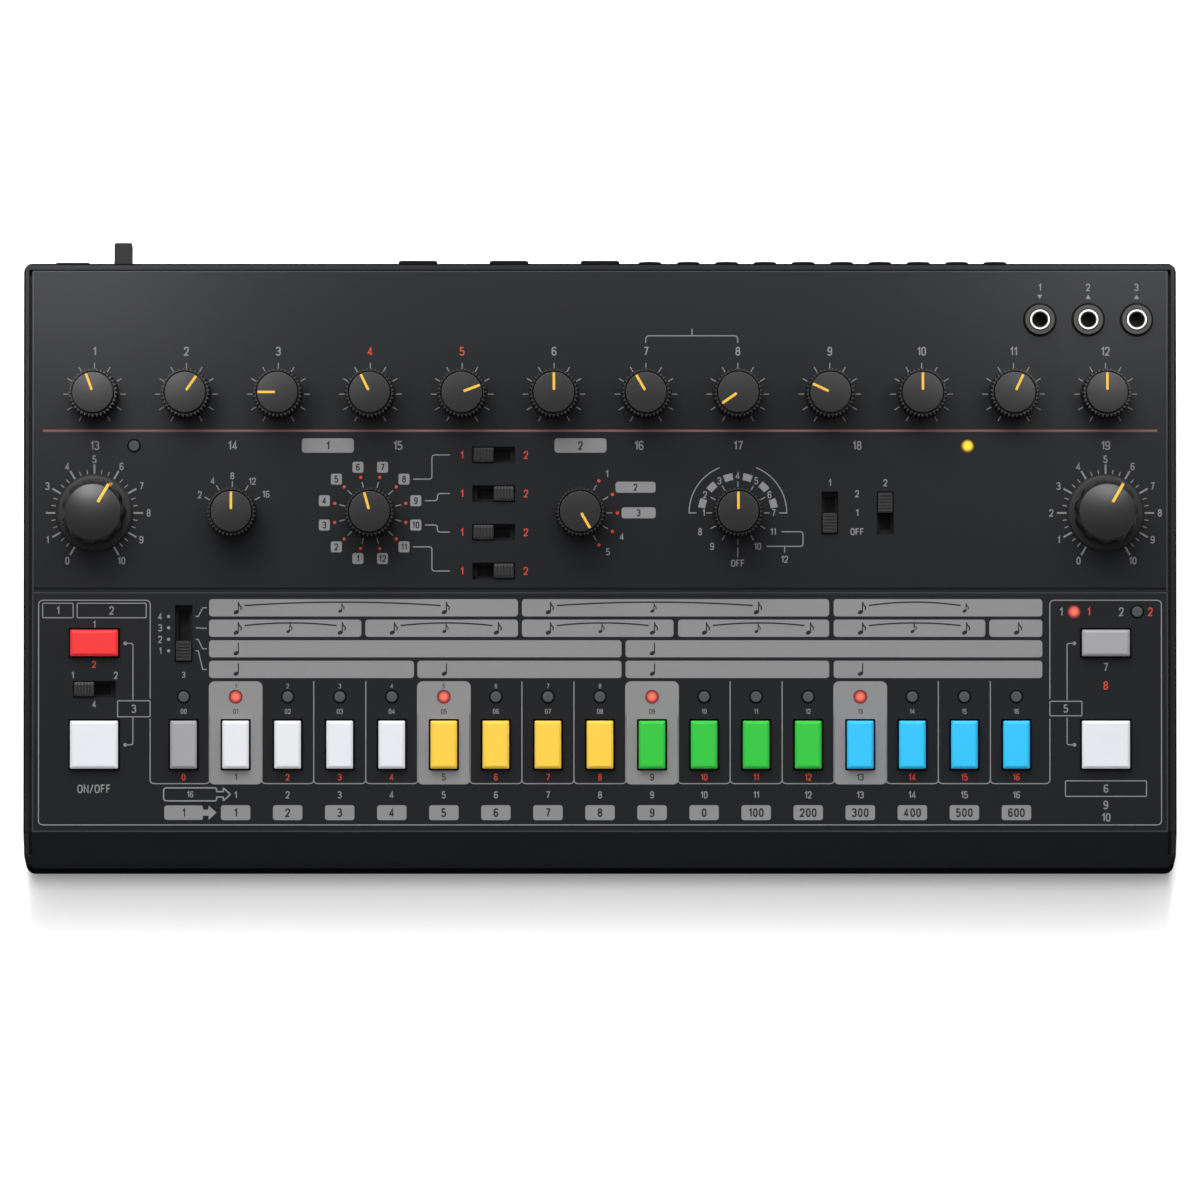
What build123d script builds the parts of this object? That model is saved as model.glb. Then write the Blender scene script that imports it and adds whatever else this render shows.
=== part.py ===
"""Desktop drum machine: sloping panel of knobs, switches, sockets and step buttons, in millimetres.

The frame has +X to the right, +Y to the rear and +Z up. The origin is on the table, below the middle
of the whole object. Places on the panel are given as x and as a distance up the slope from the front
crease; heights on it are measured along its outward normal, so depths below its face are negative.
"""
from build123d import *
from math import atan2, cos, degrees, hypot, radians, sin, tan
import os

os.makedirs("parts", exist_ok=True)

# Case
case_width = 305.0
panel_slope = 10.0              # degrees from level
panel_length = 150.8            # up the slope, from the front crease to the rear edge
crease_height = 21.0            # front crease above the table
lip_run = 7.7                   # level distance from the front crease to the front face
lip_foot_height = 12.3          # top of the upright front face above the table
foot_height = 2.0               # underside of the case above the table
rear_corner_radius = 2.6
front_corner_radius = 3.0
crease_radius = 1.2
lip_foot_radius = 5.0
base_edge_radius = 1.0
rim_edge_radius = 0.6           # along the sides and the rear edge

# Shells
cover_thickness = 2.2
tub_wall = 2.0
tub_floor = 2.2
rear_wall = 2.5
rim_width = 1.4                 # visible edge of the tub round the panel
rim_gap = 0.8                   # groove between rim and cover
rear_rim_width = 1.7
rear_rim_gap = 0.3
seat_gap = 0.3                  # running gap between cover and tub elsewhere
fascia_depth = 2.5              # front face of the cover, which spans the whole width
crease_groove_place = 64.2      # up the slope
crease_groove_width = 1.3
crease_groove_depth = 0.5

# Fasteners
boss_radius = 3.25
boss_split_drop = 10.0          # from the crease down to where tub posts and cover bosses meet
boss_side_inset = 6.5           # from the side of the case to a boss
boss_front_row = 10.0           # up the slope
boss_middle_offset = 1.8        # behind the crease groove
boss_rear_inset = 32.8          # from the panel's rear edge
middle_boss_column = 2          # in knob pitches from the middle
screw_radius = 1.4
screw_hole_clearance = 0.1
screw_head_radius = 2.7
screw_head_height = 1.8
screw_grip = 5.0                # length in the boss or standoff above
pilot_extra = 1.0
board_notch_clearance = 0.6

# Rubber feet
foot_radius = 7.0
foot_inset = 18.0               # from the sides of the case
foot_recess = 0.6               # how far a foot is let into the floor
foot_edge_radius = 0.5

# Boards, parallel with the panel
board_depth = 9.4               # from the panel's face to the board's upper face
board_thickness = 1.6
control_board_front_offset = 1.3    # behind the crease groove
control_board_rear_inset = 26.8     # from the panel's rear edge
control_board_side_inset = 11.5     # from the side of the case
socket_tab_rear_inset = 8.3         # from the panel's rear edge
step_board_front = 5.0              # up the slope
step_board_rear_offset = 2.0        # in front of the crease groove
step_board_side_inset = 8.0
standoff_radius = 2.6
standoff_front_inset = 9.5          # from the control board's front edge
standoff_rear_inset = 4.0           # from its rear edge
front_standoff_columns = (-4.73, 0.66, 4.73)    # in knob pitches from the middle
rear_standoff_columns = (-5, 0, 5)
step_standoff_columns = (-6.5, 0, 6.5)          # in key pitches from the middle
step_standoff_rows = (10.0, 46.0)               # up the slope

# Main board, level, carrying the rear sockets
main_board_drop = 8.0           # from the sockets' axis down to the board's upper face
main_board_front_gap = 44.0     # from the rear wall's inner face to the board's front edge
main_board_rear_gap = 0.4
main_board_side_inset = 7.5     # from the side of the case
main_post_radius = 3.5
main_post_side_inset = 20.0     # from the board's ends
main_post_front_inset = 6.0     # from its front edge
main_post_rear_inset = 24.0

# Rotary parts
shaft_radius = 3.0
shaft_clearance = 0.05
shaft_foot = -7.6
shaft_top = 10.5
bush_radius = 3.7
bush_gap = 0.25                 # below the cover
rotary_body_top = -4.6
rotary_bore_foot = -8.0
pot_body = (9.8, 11.4)
selector_body = (14.0, 14.0)
panel_shaft_hole_radius = 3.6

# Small knobs
level_knob_count = 12
outer_knob_inset = 18.74        # from the side of the case
level_row_inset = 34.7          # from the panel's rear edge
control_row_share = 0.394       # of the way from the crease groove to the level row
knob_lift = 0.5                 # gap between panel and knob
knob_tooth_count = 36
knob_tip_radius = 6.6
knob_root_radius = 6.1
knob_skirt_top = 12.9
knob_cap_radius = 5.3
knob_neck_radius = 5.0
knob_neck_height = 0.4
knob_top = 14.4
knob_cap_chamfer = 0.35
shaft_fit = 0.02                # between shaft and knob bore, and round other pressed pieces
pointer_width = 1.0
pointer_depth = 0.4
pointer_start = 0.4
pointer_margin = 0.15           # from the pointer's outer end to the cap's rim

# Large knobs
dial_skirt_radius = 10.1
dial_skirt_top = 2.0
dial_grip_radius = 8.3
dial_lobe_count = 11
dial_scallop_radius = 1.7
dial_scallop_place = 9.5
dial_grip_top = 12.6
dial_cap_radius = 7.5
dial_dome_rise = 1.6
dial_dome_share = 0.95          # of the rise that is rounded

# Where the selectors stand, in knob pitches from the middle, and where each pointer rests, clockwise from the rear
level_pointers = (-20, 35, -90, -26, 69, 0, -30, -125, -65, 0, 25, 0)
selectors = (
    ("measure_selector_knob", -4, 0),
    ("instrument_selector_knob", -2.5, -15),
    ("pattern_selector_knob", -0.214, 150),
    ("variation_selector_knob", 1.5, 0),
)
dial_pointer = 30

# Push buttons
key_count = 16
outer_key_inset = 42.388        # from the side of the case
key_row = 23.3
key_size = (7.0, 12.65)
square_key_size = (12.65, 12.65)
oblong_key_size = (12.6, 7.0)
oblong_key_row = 50.2
key_rise = 2.4                  # above the panel's face
key_chamfer = 0.55
key_gap = 0.5                  # round the cap
key_flange = 0.7                # width of the rim that holds a cap under the cover
key_flange_gap = 0.1
key_flange_thickness = 1.0
key_travel = 0.6
key_stop_gap = 0.2              # left between a pressed key's stem and its switch
key_foot_gap = 0.4              # left under a pressed plunger
key_stem_radius = 1.9
plunger_radius = 1.7
plunger_clearance = 0.1
plunger_top = -5.0
plunger_foot = -7.3
tact_size = 6.2

# Slide switches; columns are in knob pitches from the middle
slot_size = (11.3, 4.4)
scale_slot_size = (15.1, 4.6)
lever_length = 5.6
lever_side_gap = 0.3
lever_end_gap = 0.15
lever_rise = 1.2
lever_cap_foot = -3.0
lever_stem = (3.0, 2.2)
lever_stem_foot = -6.0
lever_rib_count = 7
lever_rib_depth = 0.3
slide_housing_wall = (1.5, 1.1)
slide_housing_gap = 0.15        # below the cover
slide_floor_gap = 0.4
mode_switch_column = -1.157
mode_switch_count = 4
mode_switch_pitch = 10.23
fill_switch_column = 2.5
cycle_switch_column = 3.104
tempo_source_row = 38.0
scale_switch_row = 52.7

# LEDs
led_radius = 1.5
led_clearance = 0.3
led_flange_radius = 1.9
led_flange_span = (-5.0, -4.0)
led_rise = 0.9
led_dome_radius = 0.8
led_leg = 0.5
led_leg_spread = 1.27
led_row = 36.0
rear_led_offset = 17.75         # from the control row
tempo_led_offset = 10.46        # from the tempo knob towards the middle
cycle_led_column = 4            # in knob pitches from the middle
side_led_offset = 8.3           # from the oblong keys' row
side_led_spread = 8.35          # each side of the oblong key's middle

# 3.5 mm sockets
jack_bore_radius = 1.8
jack_barrel_radius = 2.7
jack_hole_clearance = 0.15
jack_nut_radius = 3.85
jack_nut_thickness = 1.5
jack_washer_radius = 4.35
jack_washer_thickness = 0.5
jack_barrel_rise = 2.3
rear_jack_barrel_rise = 2.8
rear_collar_size = 6.1
rear_collar_proud = 2.95
collar_corner_radius = 0.8
jack_body_width = 8.8
jack_body_length = 12.0
panel_jack_rear_inset = 15.0    # from the panel's rear edge
panel_jack_side_inset = 23.3    # from the side of the case to the middle one
panel_jack_pitch = 12.8
rear_jack_pitch = 10.18
rear_jack_start = 13.26
rear_jack_end_gap = 24.2        # from the middle panel socket to the end of the rear row
jack_bore_depth = 11.0

# 6.35 mm sockets
large_jack_bore_radius = 3.2
large_jack_barrel_radius = 4.5
large_collar_size = 10.3
large_collar_proud = 2.8
large_jack_body = (15.0, 20.0)
large_jack_count = 3
large_jack_bore_depth = 17.0

# Other rear parts
socket_cover_gap = 1.43         # from the longest socket bodies up to the cover
small_body_rise = 4.5           # body tops above the socket axis
large_body_rise = 6.5
din_body_rise = 8.0
dc_body_rise = 5.0
power_guide_rise = 3.7
wall_seat_gap = 0.1             # between the rear wall and what stands behind it
dc_side_inset = 12.6            # from the side of the case
dc_power_spacing = 13.3         # from each rear part to the next, towards the middle
power_usb_spacing = 16.0
usb_din_spacing = 20.6
din_spacing = 22.0
din_jack_spacing = 19.7
din_face_radius = 7.6
din_ring_depth = 9.0
din_core_radius = 6.3
din_core_gap = 0.4
din_body = (17.0, 12.0)
din_pin_radius = 0.7
din_pin_circle = 3.75
usb_shell = (12.0, 11.0)
usb_wall = 0.6
usb_depth = 13.0
usb_back_wall = 2.0
usb_tongue = (5.6, 3.2)
usb_proud = 0.3
dc_body = (9.0, 13.0)
dc_flange = (8.8, 10.0)
dc_flange_proud = 2.25
dc_bore_radius = 3.1
dc_pin_radius = 0.95
dc_bore_depth = 9.5
power_cap = 4.8
power_cap_proud = 8.3
power_cap_chamfer = 0.4
power_guide_wall = 1.1
power_guide_length = 12.0
power_clearance = 0.15          # round the cap in its guide
power_hole_clearance = 0.3      # round the cap in the rear wall
power_cap_inner = 8.5           # how far the cap reaches into the case
power_travel = 2.5
wall_hole_clearance = 0.2
cut_overrun = 2.2               # how far a through cut goes beyond its wall

# Worked-out places
slope = radians(panel_slope)
lip_angle = degrees(atan2(crease_height - lip_foot_height, lip_run))
case_depth = lip_run + panel_length * cos(slope)
front_y = -(case_depth + power_cap_proud) / 2
crease_y = front_y + lip_run
rear_y = front_y + case_depth
rear_height = crease_height + panel_length * sin(slope)
floor_top = foot_height + tub_floor
fascia_y = front_y + fascia_depth
rear_inner_y = rear_y - rear_wall
cover_rear_y = rear_y - rear_rim_width - rear_rim_gap
cover_half_width = case_width / 2 - rim_width - rim_gap
board_underside = -board_depth - board_thickness
boss_split_height = crease_height - boss_split_drop
knob_pitch = (case_width - 2 * outer_knob_inset) / (level_knob_count - 1)
key_pitch = (case_width - 2 * outer_key_inset) / key_count
large_knob_x = case_width / 2 - outer_knob_inset
level_row = panel_length - level_row_inset
control_row = crease_groove_place + (level_row - crease_groove_place) * control_row_share
control_board_front = crease_groove_place + control_board_front_offset
control_board_rear = panel_length - control_board_rear_inset
control_board_width = case_width - 2 * control_board_side_inset
socket_tab_rear = panel_length - socket_tab_rear_inset
step_board_rear = crease_groove_place - step_board_rear_offset
step_board_width = case_width - 2 * step_board_side_inset
main_board_width = case_width - 2 * main_board_side_inset
tact_top = plunger_top - key_travel - key_stop_gap
tact_bore_foot = plunger_foot - key_travel - key_foot_gap
panel_jack_x = case_width / 2 - panel_jack_side_inset
dc_x = dc_side_inset - case_width / 2
power_x = dc_x + dc_power_spacing
usb_x = power_x + power_usb_spacing
din_places = (usb_x + usb_din_spacing, usb_x + usb_din_spacing + din_spacing)
large_jack_pitch = -(din_places[-1] + din_jack_spacing) / (large_jack_count - 1)
panel = Plane(origin=(0, crease_y, crease_height), x_dir=(1, 0, 0), z_dir=(0, -sin(slope), cos(slope)))
outward = Axis(panel.origin, panel.z_dir)
rear_face = Plane.XZ.offset(-rear_y)          # local x is +X, local y is +Z, and it faces into the case


def panel_height(y, depth=0.0):
    """Height of the plane that lies `depth` under the panel, at the place y."""
    return crease_height + (y - crease_y) * tan(slope) - depth / cos(slope)


def slope_y(v):
    """Level place of a point v up the slope."""
    return crease_y + v * cos(slope)


def seat(x, v, turn=0.0):
    """Plane on the panel at (x, v) whose own y axis points `turn` degrees clockwise from the rear."""
    place = panel.from_local_coords((x, v, 0))
    across = panel.x_dir * cos(radians(turn)) - panel.y_dir * sin(radians(turn))
    return Plane(origin=place, x_dir=across, z_dir=panel.z_dir)


def finish(builder, name):
    builder.part.label = name
    export_step(builder.part, f"parts/{name}.step")


# Outer form of the closed case, from which both shells are cut
with BuildPart() as envelope:
    with BuildSketch(Plane.YZ) as side_profile:
        with BuildLine():
            Polyline(
                (front_y, foot_height), (front_y, lip_foot_height), (crease_y, crease_height),
                (rear_y, rear_height), (rear_y, foot_height), close=True)
        make_face()
        for place, radius in (
                ((front_y, foot_height), base_edge_radius), ((front_y, lip_foot_height), lip_foot_radius),
                ((crease_y, crease_height), crease_radius), ((rear_y, foot_height), base_edge_radius)):
            fillet(min(side_profile.vertices(), key=lambda corner: hypot(corner.X - place[0], corner.Y - place[1])),
                   radius)
    extrude(amount=case_width / 2, both=True)
    side_edges = envelope.edges().filter_by(lambda edge: abs(edge.center().X) > case_width / 2 - rim_edge_radius)
    rim_edges = [edge for edge in side_edges
                 if edge.center().Z > lip_foot_height - lip_foot_radius / 2 and edge not in side_edges.filter_by(Axis.Z)]
    fillet(rim_edges + envelope.edges().filter_by(Axis.X).sort_by(Axis.Z)[-1:], rim_edge_radius)
    with BuildSketch() as plan:
        with Locations((0, (front_y + rear_y) / 2)):
            Rectangle(case_width, case_depth)
        fillet(plan.vertices().group_by(Axis.Y)[0], front_corner_radius)
        fillet(plan.vertices().group_by(Axis.Y)[-1], rear_corner_radius)
    extrude(amount=rear_height + foot_height, mode=Mode.INTERSECT)

boss_rows = (boss_front_row, crease_groove_place + boss_middle_offset, panel_length - boss_rear_inset)
boss_places = [(side * (case_width / 2 - boss_side_inset), v) for side in (-1, 1) for v in boss_rows]
boss_places += [(side * middle_boss_column * knob_pitch, boss_rows[1]) for side in (-1, 1)]
boss_points = [(x, slope_y(v)) for x, v in boss_places]

level_places = [(knob_pitch * (i - (level_knob_count - 1) / 2), level_row) for i in range(level_knob_count)]
selector_places = [(column * knob_pitch, control_row) for name, column, turn in selectors]
large_places = [(-large_knob_x, control_row), (large_knob_x, control_row)]
rotary_places = level_places + selector_places + large_places

control_standoffs = [(column * knob_pitch, control_board_front + standoff_front_inset)
                     for column in front_standoff_columns]
control_standoffs += [(column * knob_pitch, control_board_rear - standoff_rear_inset)
                      for column in rear_standoff_columns]
step_standoffs = [(column * key_pitch, v) for v in step_standoff_rows for column in step_standoff_columns]

step_keys = [(f"step_button_{i + 1:02d}", key_pitch * (i + 1 - key_count / 2), key_row, key_size)
             for i in range(key_count)]
keys = step_keys + [
    ("function_button", -key_pitch * key_count / 2, key_row, key_size),
    ("start_button", -large_knob_x, key_row, square_key_size),
    ("tap_button", large_knob_x, key_row, square_key_size),
    ("clear_button", -large_knob_x, oblong_key_row, oblong_key_size),
    ("pattern_button", large_knob_x, oblong_key_row, oblong_key_size),
]

# Name, x, place up the slope, slot size, direction of the slot (0 across, 90 up the slope), resting end
mode_rows = [control_row + mode_switch_pitch * ((mode_switch_count - 1) / 2 - i) for i in range(mode_switch_count)]
slides = [(f"mode_switch_{i + 1}", mode_switch_column * knob_pitch, v, slot_size, 0, (-1, 1)[i % 2])
          for i, v in enumerate(mode_rows)]
slides += [
    ("fill_switch", fill_switch_column * knob_pitch, control_row, slot_size, 90, -1),
    ("cycle_switch", cycle_switch_column * knob_pitch, control_row, slot_size, 90, 1),
    ("tempo_source_switch", -large_knob_x, tempo_source_row, slot_size, 0, -1),
    ("scale_switch", -key_pitch * key_count / 2, scale_switch_row, scale_slot_size, 90, -1),
]

led_places = [(key_pitch * (i - key_count / 2), led_row) for i in range(key_count + 1)]
led_places += [
    (tempo_led_offset - large_knob_x, control_row + rear_led_offset),
    (cycle_led_column * knob_pitch, control_row + rear_led_offset),
    (large_knob_x - side_led_spread, oblong_key_row + side_led_offset),
    (large_knob_x + side_led_spread, oblong_key_row + side_led_offset),
]


def lever_reach(slot):
    """How far a lever goes each way from the middle of its slot."""
    return (slot[0] - lever_length) / 2 - lever_end_gap


# Top cover: panel, crease, lip and front face in one moulding
inner_crease_v = cover_thickness * tan(radians(lip_angle - panel_slope) / 2)
inner_crease = panel.from_local_coords((0, inner_crease_v, -cover_thickness))
inner_lip_foot = (fascia_y, lip_foot_height - fascia_depth * tan(radians(90 - lip_angle) / 2))
panel_jacks = [(panel_jack_x + panel_jack_pitch * i, panel_length - panel_jack_rear_inset) for i in (-1, 0, 1)]
with BuildPart() as upper_case:
    with BuildSketch(Plane.YZ):
        with BuildLine():
            Polyline(
                (front_y, foot_height), (front_y, lip_foot_height), (crease_y, crease_height),
                (cover_rear_y, panel_height(cover_rear_y)),
                (cover_rear_y, panel_height(cover_rear_y, cover_thickness)),
                (inner_crease.Y, inner_crease.Z), inner_lip_foot, (fascia_y, foot_height), close=True)
        make_face()
    extrude(amount=cover_half_width, both=True)
    fillet(upper_case.edges().filter_by(Axis.Z).group_by(Axis.Y)[-1], rear_corner_radius - rim_width - rim_gap)
    with BuildSketch(Plane.XZ.offset(-fascia_y)):
        with Locations((0, crease_height / 2)):
            Rectangle(case_width, crease_height)
    extrude(amount=fascia_depth)
    with BuildSketch(Plane.XY.offset(boss_split_height)):
        with Locations(*boss_points):
            Circle(boss_radius)
    extrude(amount=rear_height)
    with BuildSketch(panel.offset(-board_depth)):
        with Locations(*control_standoffs, *step_standoffs):
            Circle(standoff_radius)
    extrude(amount=board_depth)
    add(envelope.part, mode=Mode.INTERSECT)
    for x, y in boss_points:
        with BuildSketch(Plane.XY.offset(boss_split_height)):
            with Locations((x, y)):
                Circle(screw_radius + screw_hole_clearance)
        extrude(amount=screw_grip + pilot_extra, mode=Mode.SUBTRACT)
    with BuildSketch(panel.offset(-board_depth)):
        with Locations(*control_standoffs, *step_standoffs):
            Circle(screw_radius + screw_hole_clearance)
    extrude(amount=screw_grip + pilot_extra, mode=Mode.SUBTRACT)
    with BuildSketch(panel):
        with Locations(*rotary_places):
            Circle(panel_shaft_hole_radius)
        with Locations(*panel_jacks):
            Circle(jack_barrel_radius + jack_hole_clearance)
        with Locations(*led_places):
            Circle(led_radius + led_clearance)
        for name, x, v, size in keys:
            with Locations((x, v)):
                Rectangle(size[0] + 2 * key_gap, size[1] + 2 * key_gap)
        for name, x, v, slot, turn, end in slides:
            with Locations((x, v)):
                Rectangle(*slot, rotation=turn)
    extrude(amount=-cover_thickness - cut_overrun, mode=Mode.SUBTRACT)
    with BuildSketch(panel):
        with Locations((0, crease_groove_place)):
            Rectangle(2 * cover_half_width + rim_gap, crease_groove_width)
    extrude(amount=-crease_groove_depth, mode=Mode.SUBTRACT)
finish(upper_case, "upper_case")

# Rear sockets along the main board; the longest bodies come nearest to the sloping cover
socket_height = panel_height(rear_inner_y - wall_seat_gap - large_jack_body[1], cover_thickness)
socket_height -= large_body_rise + socket_cover_gap
main_board_top = socket_height - main_board_drop
rear_jack_count = int((panel_jack_x - rear_jack_end_gap - rear_jack_start) / rear_jack_pitch) + 1
rear_jacks = [rear_jack_start + rear_jack_pitch * i for i in range(rear_jack_count)]
large_jacks = [-large_jack_pitch * i for i in range(large_jack_count)]
main_board_rear_y = rear_inner_y - main_board_rear_gap
main_board_front_y = rear_inner_y - main_board_front_gap
main_post_points = [(side * (main_board_width / 2 - main_post_side_inset), y)
                    for side in (-1, 1)
                    for y in (main_board_front_y + main_post_front_inset, main_board_rear_y - main_post_rear_inset)]
foot_points = [(side * (case_width / 2 - foot_inset), y)
               for side in (-1, 1) for y in (front_y + foot_inset, rear_y - foot_inset)]
power_guide = power_cap + 2 * power_clearance + 2 * power_guide_wall

# Tub: floor, side walls and rear wall
with BuildPart() as lower_case:
    add(envelope.part)
    with BuildSketch(Plane.YZ):
        with BuildLine():
            Polyline(
                (front_y - seat_gap, floor_top), (rear_inner_y, floor_top),
                (rear_inner_y, rear_height + seat_gap), (front_y - seat_gap, rear_height + seat_gap),
                close=True)
        make_face()
    extrude(amount=case_width / 2 - tub_wall, both=True, mode=Mode.SUBTRACT)
    with BuildSketch(Plane.YZ):
        with BuildLine():
            Polyline(
                (front_y, floor_top), (crease_y, crease_height - cover_thickness - 2 * seat_gap),
                (rear_y - rear_rim_width, panel_height(rear_y - rear_rim_width, cover_thickness + seat_gap)),
                (rear_y - rear_rim_width, rear_height + seat_gap), (front_y, rear_height + seat_gap), close=True)
        make_face()
    extrude(amount=case_width / 2 - rim_width, both=True, mode=Mode.SUBTRACT)
    with BuildSketch(Plane.XZ.offset(-fascia_y - seat_gap)):
        with Locations((0, crease_height / 2)):
            Rectangle(case_width + seat_gap, crease_height + seat_gap)
    extrude(amount=fascia_depth + 2 * seat_gap, mode=Mode.SUBTRACT)
    with BuildSketch(Plane.XY.offset(floor_top - tub_floor / 2)):
        with Locations(*boss_points):
            Circle(boss_radius)
    extrude(amount=boss_split_height - floor_top + tub_floor / 2)
    with BuildSketch(Plane.XY.offset(floor_top - tub_floor / 2)):
        with Locations(*main_post_points):
            Circle(main_post_radius)
    extrude(amount=main_board_top - board_thickness - floor_top + tub_floor / 2)
    with BuildSketch(Plane.XY.offset(foot_height)):
        with Locations(*boss_points):
            Circle(screw_head_radius + screw_hole_clearance)
    extrude(amount=screw_head_height + screw_hole_clearance, mode=Mode.SUBTRACT)
    with BuildSketch(Plane.XY.offset(foot_height)):
        with Locations(*boss_points):
            Circle(screw_radius + screw_hole_clearance)
    extrude(amount=boss_split_height, mode=Mode.SUBTRACT)
    with BuildSketch(Plane.XY.offset(main_board_top)):
        with Locations(*main_post_points):
            Circle(screw_radius + screw_hole_clearance)
    extrude(amount=-(board_thickness + screw_grip + pilot_extra), mode=Mode.SUBTRACT)
    with BuildSketch(Plane.XY.offset(foot_height)):
        with Locations(*foot_points):
            Circle(foot_radius + screw_hole_clearance)
    extrude(amount=foot_recess, mode=Mode.SUBTRACT)
    with BuildSketch(rear_face):
        with Locations(*[(x, socket_height) for x in rear_jacks]):
            Circle(jack_barrel_radius + jack_hole_clearance)
        with Locations(*[(x, socket_height) for x in large_jacks]):
            Circle(large_jack_barrel_radius + jack_hole_clearance)
        with Locations(*[(x, socket_height) for x in din_places]):
            Circle(din_face_radius + wall_hole_clearance)
        with Locations((usb_x, socket_height)):
            Rectangle(usb_shell[0] + 2 * wall_hole_clearance, usb_shell[1] + 2 * wall_hole_clearance)
        with Locations((dc_x, socket_height)):
            Rectangle(dc_flange[0] + 2 * wall_hole_clearance, dc_flange[1] + 2 * wall_hole_clearance)
        with Locations((power_x, socket_height)):
            Rectangle(power_cap + 2 * power_hole_clearance, power_cap + 2 * power_hole_clearance)
    extrude(amount=rear_wall, mode=Mode.SUBTRACT)
finish(lower_case, "lower_case")

with BuildPart() as rubber_feet:
    with BuildSketch():
        with Locations(*foot_points):
            Circle(foot_radius)
    extrude(amount=foot_height + foot_recess)
    fillet(rubber_feet.edges().group_by(Axis.Z)[0], foot_edge_radius)
finish(rubber_feet, "rubber_feet")

# Screws: eight hold the shells together, four the main board, twelve the two panel boards
with BuildPart() as screws:
    with BuildSketch(Plane.XY.offset(foot_height)):
        with Locations(*boss_points):
            Circle(screw_head_radius)
    extrude(amount=screw_head_height)
    with BuildSketch(Plane.XY.offset(foot_height)):
        with Locations(*boss_points):
            Circle(screw_radius)
    extrude(amount=boss_split_height - foot_height + screw_grip)
    with BuildSketch(Plane.XY.offset(main_board_top)):
        with Locations(*main_post_points):
            Circle(screw_head_radius)
    extrude(amount=screw_head_height)
    with BuildSketch(Plane.XY.offset(main_board_top)):
        with Locations(*main_post_points):
            Circle(screw_radius)
    extrude(amount=-(board_thickness + screw_grip))
    with BuildSketch(panel.offset(board_underside)):
        with Locations(*control_standoffs, *step_standoffs):
            Circle(screw_head_radius)
    extrude(amount=-screw_head_height)
    with BuildSketch(panel.offset(board_underside)):
        with Locations(*control_standoffs, *step_standoffs):
            Circle(screw_radius)
    extrude(amount=board_thickness + screw_grip)
finish(screws, "screws")


def cut_boss_notches():
    """Room for the cover's upright bosses, in a board that lies along the panel."""
    with BuildSketch() as notches:
        with Locations(*boss_points):
            Circle(boss_radius + board_notch_clearance)
    extrude(notches.sketch, amount=rear_height, mode=Mode.SUBTRACT)


def cut_screw_holes(places):
    with BuildSketch(panel.offset(-board_depth)) as holes:
        with Locations(*places):
            Circle(screw_radius + screw_hole_clearance)
    extrude(holes.sketch, amount=-board_thickness, mode=Mode.SUBTRACT)


with BuildPart() as control_board:
    with BuildSketch(panel.offset(-board_depth)):
        with Locations((0, (control_board_front + control_board_rear) / 2)):
            Rectangle(control_board_width, control_board_rear - control_board_front)
        with Locations((panel_jack_x, (control_board_rear + socket_tab_rear) / 2)):
            Rectangle(2 * panel_jack_pitch + jack_body_width, socket_tab_rear - control_board_rear)
    extrude(amount=-board_thickness)
    cut_boss_notches()
    cut_screw_holes(control_standoffs)
finish(control_board, "control_board")

with BuildPart() as step_board:
    with BuildSketch(panel.offset(-board_depth)):
        with Locations((0, (step_board_front + step_board_rear) / 2)):
            Rectangle(step_board_width, step_board_rear - step_board_front)
    extrude(amount=-board_thickness)
    cut_boss_notches()
    cut_screw_holes(step_standoffs)
finish(step_board, "step_board")

with BuildPart() as main_board:
    with BuildSketch(Plane.XY.offset(main_board_top)):
        with Locations((0, (main_board_front_y + main_board_rear_y) / 2)):
            Rectangle(main_board_width, main_board_rear_y - main_board_front_y)
        with Locations(*main_post_points):
            Circle(screw_radius + screw_hole_clearance, mode=Mode.SUBTRACT)
    extrude(amount=-board_thickness)
    cut_boss_notches()
finish(main_board, "main_board")

# Rotary parts: a body on the board and a bush in which the shaft turns
with BuildPart() as potentiometers:
    with BuildSketch(panel.offset(-board_depth)):
        with Locations(*level_places, *large_places):
            Rectangle(*pot_body)
        with Locations(*selector_places):
            Rectangle(*selector_body)
    extrude(amount=board_depth + rotary_body_top)
    with BuildSketch(panel.offset(rotary_body_top)):
        with Locations(*rotary_places):
            Circle(bush_radius)
    extrude(amount=-rotary_body_top - cover_thickness - bush_gap)
    with BuildSketch(panel.offset(rotary_bore_foot)):
        with Locations(*rotary_places):
            Circle(shaft_radius + shaft_clearance)
    extrude(amount=-rotary_bore_foot, mode=Mode.SUBTRACT)
finish(potentiometers, "potentiometers")

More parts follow.
